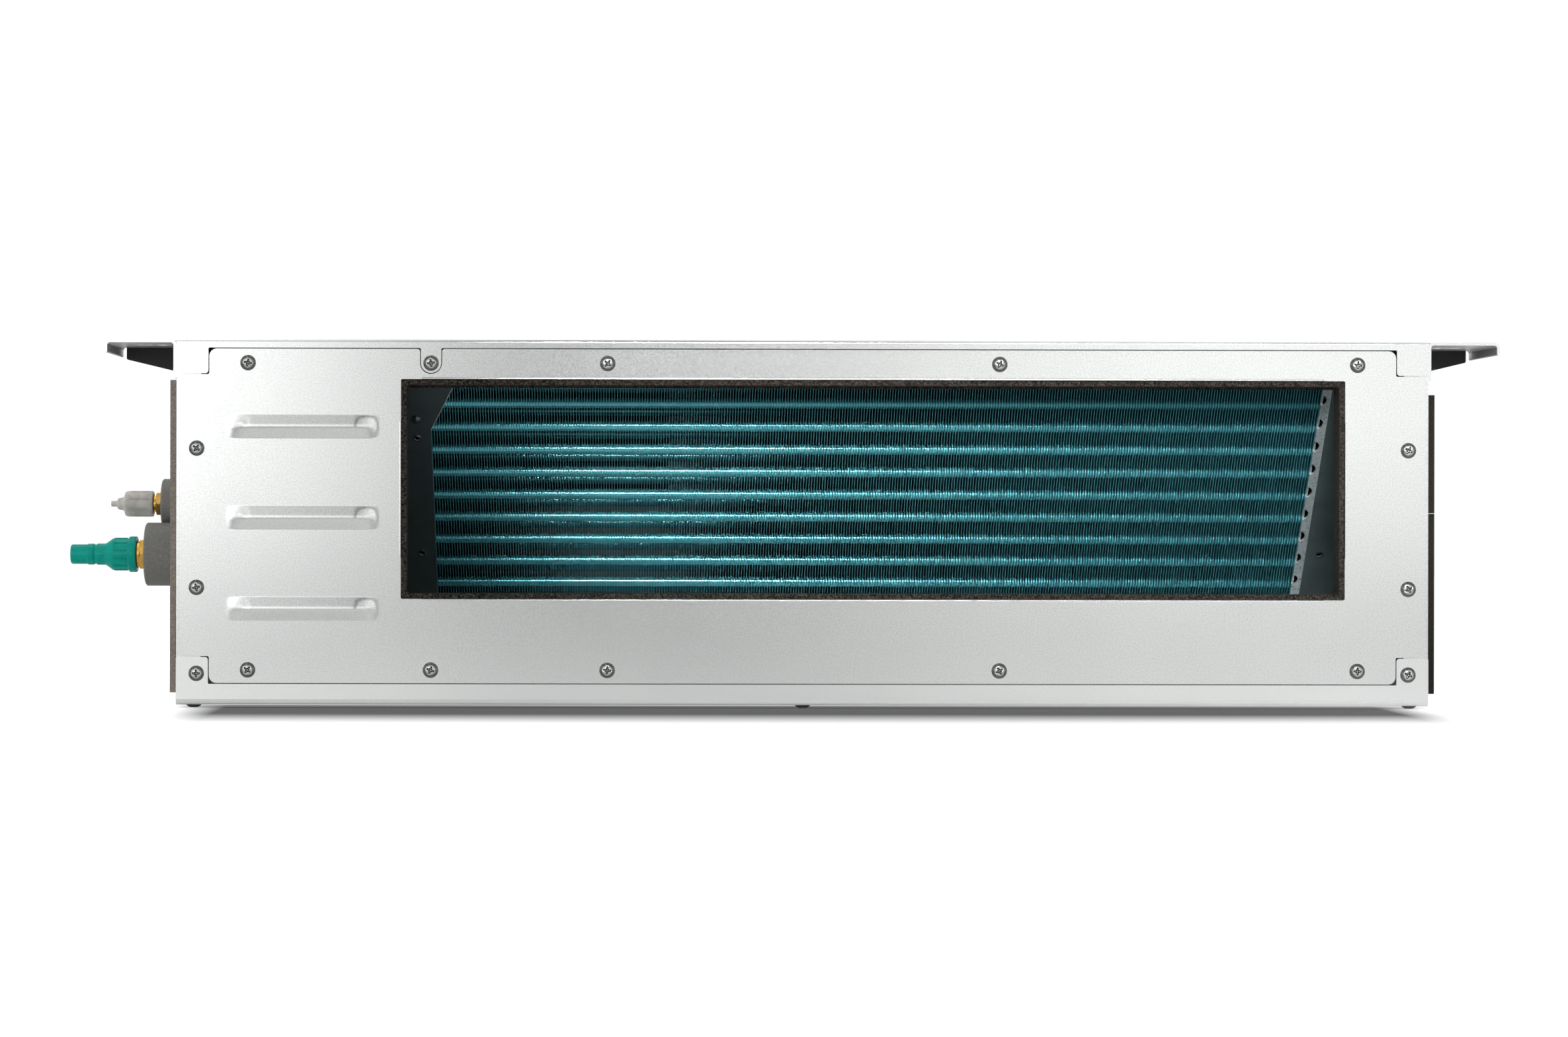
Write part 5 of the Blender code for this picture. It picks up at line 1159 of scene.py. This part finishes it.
def blanking(name, near, side, wedge, material):
    """The plate in painted shade, its edges a paler grey, with two burred holes and, on the wedge, a domed
    screw; burrs and screw are painted dark as shade too.
    """
    far = side * (SIDE - PLATE_SIDE_GAP)
    foot = PLATE_FOOT - COIL_LONG
    corners = [(far, foot, 0), (near, foot, 0.001)]
    if wedge:
        corners.append((near, -WEDGE_LONG, 0.0008))
    corners += [(near - side * wedge, RIM, 0.0005), (far, RIM, 0)]
    middle = near + side * HOLE_IN
    levels = [-share * COIL_LONG for share in HOLE_SHARES]
    holes = [ring(middle, level, HOLE_RADIUS, 24) for level in levels]
    flat = pressed("Y", [rounded(corners), *holes], -END_GAP - PLATE_SHEET, -END_GAP)
    burr = [(HOLE_RADIUS + radius, along) for radius, along in BURR]
    dark = [turned(burr, (middle, 0, level), 24, "Y") for level in levels]
    pale_edge = []
    if wedge:
        dark.append(turned(DOME, (middle, 0, -DOME_DOWN), 32, "Y"))
        edge = ((near, 0, -WEDGE_LONG), (near - side * wedge, 0, RIM))
        pale_edge.append(tube_along(edge, 0.0003, 1))
    for mesh in dark + pale_edge:
        mesh.transform(Matrix.Translation((0, -END_GAP - PLATE_SHEET, 0)))
    flat_faces = len(flat.polygons)
    dark_faces = flat_faces + sum(len(mesh.polygons) for mesh in dark)
    whole = together(flat, *dark, *pale_edge)
    whole.transform(LEANING)
    piece = link_piece(name + "_pressing", whole, material, "casing")
    whole.materials.append(CUT_EDGE)
    whole.materials.append(SCREW_IN_PAINTED_SHADE)
    for face in whole.polygons:
        if face.index >= dark_faces:
            face.material_index = 1
        elif face.index >= flat_faces:
            face.material_index = 2
        elif abs(face.normal.dot(INTO)) < 0.3:
            face.material_index = 1
    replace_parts(piece, name)


tube_sheet("left_coil_end_plate", fin_low.x, -1)
tube_sheet("right_coil_end_plate", fin_high.x, 1)
blanking("left_cover_plate", fin_low.x, -1, WEDGE_WIDE, PLATE)
blanking("right_cover_plate", fin_high.x + END_FLANGE - 0.001, 1, 0, RIGHT_PLATE)

# Copper circuits, headers and pipes: each circuit is one tube that runs to and fro through the fins,
# with a return bend at the end of each pass, brazed to the headers. The valve is brass.
BEND_LEFT = 0.0063
copper = mottled(
    "copper", (0.72, 0.36, 0.20), 0.28, 1.0, ("ShaderNodeTexNoise", 70, 4.0),
    (0.55, 0.25, 0.13), (0.80, 0.42, 0.25),
)[0]
brass = mottled(
    "brass", (0.72, 0.45, 0.13), 0.26, 1.0, ("ShaderNodeTexNoise", 300, 3.0),
    (0.66, 0.38, 0.08), (0.92, 0.56, 0.15),
)[0]
dress(copper, "gas_manifold", "liquid_manifold", "gas_pipe", "liquid_inlet_pipe", "liquid_outlet_pipe")
dress(brass, "expansion_valve")


def coil_tubes(name, column):
    low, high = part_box(name)
    bend = ROW_PITCH / 2
    ends = ((high.x - TUBE_RADIUS - bend, 1), (fin_low.x - BEND_LEFT, -1))
    into = (column + 0.5) * COLUMN_PITCH
    points = [on_coil(low.x, FIRST_ROW, into)]
    for number in range(ROWS - 1):
        end, outward = ends[number % 2]
        middle = on_coil(end, FIRST_ROW + (number + 0.5) * ROW_PITCH, into)
        for step in range(13):
            turn = math.pi * step / 12
            out = Vector((outward * math.sin(turn), 0, 0))
            points.append(middle + (out - DOWN * math.cos(turn)) * bend)
    points.append(on_coil(low.x, FIRST_ROW + (ROWS - 1) * ROW_PITCH, into))
    tube = tube_along(points, TUBE_RADIUS - 0.0002, 2)
    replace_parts(link_piece(name + "_tube", tube, copper, "casing"), name)


coil_tubes("front_coil_circuit", 0)
coil_tubes("rear_coil_circuit", 1)

# Pipe connections on the left: a foam collar on each pipe, a brass flare fitting and a moulded
# cap that keeps dirt out until the pipe is joined. The gas cap is green and the liquid cap milky.
COLLAR_FOAM = foam("collar_foam", (0.27, 0.268, 0.255), (0.22, 0.218, 0.208), 500, 0.50)
GAS_AXIS = Vector((-SIDE, -0.10713, 0.10854))
LIQUID_AXIS = Vector((-SIDE, -0.08513, 0.14784))
HEX_LONG = 0.0045
HEX_EASE = 0.0012
THREAD_TURNS = 9
CAP_BORE_SHARE = 0.78
CAP_DEPTH_SHARE = 0.30
GRIP_BAR = 0.0011


def softened(profile, radius, steps=3):
    """An open profile with its inner corners rounded."""
    points = [Vector(profile[0])]
    for i in range(1, len(profile) - 1):
        here = Vector(profile[i])
        before = Vector(profile[i - 1]) - here
        after = Vector(profile[i + 1]) - here
        trim = min(radius, before.length * 0.45, after.length * 0.45)
        start = here + before.normalized() * trim
        end = here + after.normalized() * trim
        for step in range(steps + 1):
            share = step / steps
            points.append(start * (1 - share) ** 2 + here * 2 * share * (1 - share) + end * share ** 2)
    points.append(Vector(profile[-1]))
    return [tuple(p) for p in points]


def collar(kind, axis, radius, bore):
    low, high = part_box(f"{kind}_collar")
    out = low.x - axis.x
    back = high.x - axis.x
    profile = [(bore, back), (radius, back), (radius, out + 0.001), (radius - 0.001, out), (bore, out)]
    sleeve = turned(profile, axis)
    piece = link_piece(f"{kind}_foam_collar", sleeve, COLLAR_FOAM, "casing")
    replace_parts(piece, f"{kind}_collar")


collar("gas", GAS_AXIS, radius=0.0246, bore=0.0068)
collar("liquid", LIQUID_AXIS, radius=0.0196, bore=0.0045)


def fitting(kind, axis, across, thread):
    """A hexagon with its corners turned off and a threaded stub for the flare nut."""
    low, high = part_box(f"{kind}_fitting")
    back = high.x
    front = back - HEX_LONG
    corner = across / 2 / math.cos(math.pi / 6)
    hexagon = placed("hexagon", pressed("X", [ring(axis.y, axis.z, corner, 6)], front, back))
    wide = across * 0.575
    lathe = [
        (0, 0), (across / 2, 0), (wide, -HEX_EASE),
        (wide, HEX_EASE * 0.75 - HEX_LONG), (across / 2, -HEX_LONG), (0, -HEX_LONG),
    ]
    nut = cut_with(hexagon, "INTERSECT", placed("lathe", turned(lathe, (back, axis.y, axis.z))))
    start = front - axis.x
    tip = low.x - axis.x
    shoulder = thread + 0.0009
    stub = [(0, start + 0.001), (shoulder, start + 0.001), (shoulder, start - 0.0018)]
    for i in range(THREAD_TURNS):
        at = start - 0.002 + (tip - start + 0.003) * i / THREAD_TURNS
        stub += [(thread - 0.0006, at), (thread, at - 0.0004)]
    stub += [(thread - 0.001, tip), (0, tip)]
    whole = together(nut, turned(stub, axis))
    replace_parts(link_piece(f"{kind}_brass_fitting", whole, brass, "casing"), f"{kind}_fitting")


fitting("gas", GAS_AXIS, across=0.0225, thread=0.0093)
fitting("liquid", LIQUID_AXIS, across=0.0176, thread=0.0056)

green, tree, surface = mottled(
    "green_moulding", (0.0, 0.34, 0.27), 0.30, 0.0, ("ShaderNodeTexNoise", 120),
    (0.0, 0.36, 0.285), (0.001, 0.43, 0.345), (0.35, 0.65),
)
surface.inputs["Specular IOR Level"].default_value = 0.10
surface.inputs["Coat Weight"].default_value = 0.12
surface.inputs["Coat Roughness"].default_value = 0.12
bump(tree, surface, grain(tree, "ShaderNodeTexNoise", 260), 0.10, 0.0003)
milky, tree, surface = mottled(
    "milky_moulding", (0.60, 0.57, 0.54), 0.30, 0.0, ("ShaderNodeTexNoise", 150),
    (0.52, 0.49, 0.465), (0.68, 0.645, 0.615), (0.35, 0.65),
)
surface.inputs["Subsurface Weight"].default_value = 0.25
surface.inputs["Subsurface Radius"].default_value = (0.004, 0.003, 0.003)
surface.inputs["Subsurface Scale"].default_value = 1.0


def grip_bar(start, end):
    """One thin bar of a cap's grip, from start to end along X."""
    shape = bmesh.new()
    bmesh.ops.create_cube(shape, size=1)
    bmesh.ops.scale(shape, verts=shape.verts, vec=(abs(start - end), GRIP_BAR, GRIP_BAR))
    bmesh.ops.bevel(shape, geom=shape.edges, offset=0.0003, segments=2, affect="EDGES")
    return placed("bar", as_mesh("bar", shape))


def cap(kind, axis, radius, outside, bars, bar_ends, bar_radius, material):
    """A closed cap; the outside and the bars' ends are shares of its radius and its length."""
    low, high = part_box(f"{kind}_cap")
    mouth = high.x - axis.x
    length = high.x - low.x
    profile = [(radius * share, mouth - along * length) for share, along in outside]
    bore = profile[0][0] * CAP_BORE_SHARE
    floor_at = mouth - length * CAP_DEPTH_SHARE
    cup = [(0, floor_at), (bore, floor_at), (bore, mouth), *profile]
    shell = turned(softened(cup, 0.0009), axis)
    start, end = (mouth - share * length for share in bar_ends)
    grip = []
    for i in range(bars):
        turn = 2 * math.pi * (i + 0.5) / bars
        bar = grip_bar(start, end)
        across = Vector((0, math.cos(turn), math.sin(turn))) * radius * bar_radius
        place = axis + across + Vector(((start + end) / 2, 0, 0))
        bar.matrix_world = Matrix.Translation(place) @ Matrix.Rotation(turn, 4, "X")
        grip.append(settled(bar))
    piece = link_piece(f"{kind}_moulded_cap", together(shell, *grip), material, f"{kind}_cap")
    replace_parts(piece, f"{kind}_cap")


gas_shape = [
    (0.985, 0.0), (1, 0.02), (1, 0.11), (0.90, 0.125), (0.90, 0.36), (0.60, 0.475), (0.60, 0.60),
    (0.54, 0.62), (0.54, 0.635), (0.59, 0.655), (0.59, 0.735), (0.55, 0.755), (0.55, 0.975),
    (0.50, 1.0), (0, 1.0),
]
liquid_shape = [
    (0.96, 0.0), (1, 0.04), (1, 0.58), (0.93, 0.66), (0.52, 0.70), (0.43, 0.84), (0.23, 0.86),
    (0.23, 1.0), (0, 1.0),
]
cap("gas", GAS_AXIS, 0.0140, gas_shape, 12, (0.14, 0.34), 0.90, green)
cap("liquid", LIQUID_AXIS, 0.0102, liquid_shape, 8, (0.08, 0.52), 0.985, milky)

# Drain pan: expanded foam with a smooth liner, laid on the base under the coil, and a black rubber
# plug in its spout. The motor's rings and the cable grommets are of the same rubber.
pan = mottled(
    "pan_foam", (0.72, 0.73, 0.73), 0.75, 0.0, ("ShaderNodeTexVoronoi", 320),
    (0.62, 0.63, 0.63), (0.78, 0.79, 0.79), (0.0, 1.0),
)[0]
dress(pan, "drain_pan")


def grained(name, grey, roughness, metallic, scale, strength, depth):
    """A plain finish with a fine relief."""
    made, tree, surface = shader(name, grey, roughness, metallic)
    bump(tree, surface, grain(tree, "ShaderNodeTexNoise", scale), strength, depth)
    return made


rubber = grained("rubber", (0.018, 0.018, 0.018), 0.7, 0.0, 700, 0.2, 0.0003)
dress(
    rubber, "drain_plug", "left_motor_ring", "right_motor_ring", "front_cable_grommet",
    "rear_cable_grommet",
)

# Fans: black moulded scrolls in two halves round black moulded wheels, which are fixed on a plain
# steel shaft on both sides of a painted motor.
black = grained("black_moulding", (0.022, 0.022, 0.024), 0.45, 0.0, 900, 0.15, 0.0002)
dress(
    black, "left_upper_scroll", "left_lower_scroll", "right_upper_scroll", "right_lower_scroll",
    "left_fan_wheel", "right_fan_wheel", "valve_coil", "terminal_block", "filter_frame",
)
steel = shader("shaft_steel", (0.5, 0.5, 0.5), 0.25, 1.0)[0]
dress(steel, "fan_shaft")
motor_paint = grained("motor_paint", (0.30, 0.31, 0.32), 0.42, 0.4, 500, 0.15, 0.0003)
dress(motor_paint, "fan_motor")

# Filter: a net woven from fine dark thread and welded into a black moulded frame, which slides in
# the rails with it.
NET_PITCH = 0.0024
THREAD = 0.00045
THREAD_SHIFT = 0.0002
net_low, net_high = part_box("filter_net")
net_thread = grained("net_thread", (0.06, 0.06, 0.065), 0.6, 0.0, 2000, 0.1, 0.0001)


def net():
    """Threads in two directions, the second lying on the first, as in a woven net."""
    wide, _, tall = net_high - net_low
    ways = (
        (wide, Vector((1, 0, 0)), (THREAD, THREAD, tall), THREAD_SHIFT),
        (tall, Vector((0, 0, 1)), (wide, THREAD, THREAD), -THREAD_SHIFT),
    )
    sets = []
    for span, along, size, shift in ways:
        shape = bmesh.new()
        bmesh.ops.create_cube(shape, size=1)
        bmesh.ops.scale(shape, verts=shape.verts, vec=size)
        bmesh.ops.translate(shape, verts=shape.verts, vec=(0, shift, 0))
        thread = placed("thread", as_mesh("thread", shape))
        count = round(span / NET_PITCH) - 1
        step = along * span / (count + 1)
        first = (net_low + net_high) / 2 - step * (count - 1) / 2
        sets.append(row(thread, count, first, step, net_thread))
    return together(*sets)


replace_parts(link_piece("woven_net", net(), net_thread, "air_filter"), "filter_net")

# Control box on the right: a folded steel tray and its lid, with the board and terminals inside
# and two rubber grommets for the cables.
dress(ZINC, "control_box", "control_cover")
board = mottled(
    "circuit_board", (0.01, 0.12, 0.05), 0.4, 0.0, ("ShaderNodeTexVoronoi", 300),
    (0.008, 0.10, 0.04), (0.014, 0.14, 0.06), (0.0, 1.0),
)[0]
dress(board, "circuit_board")
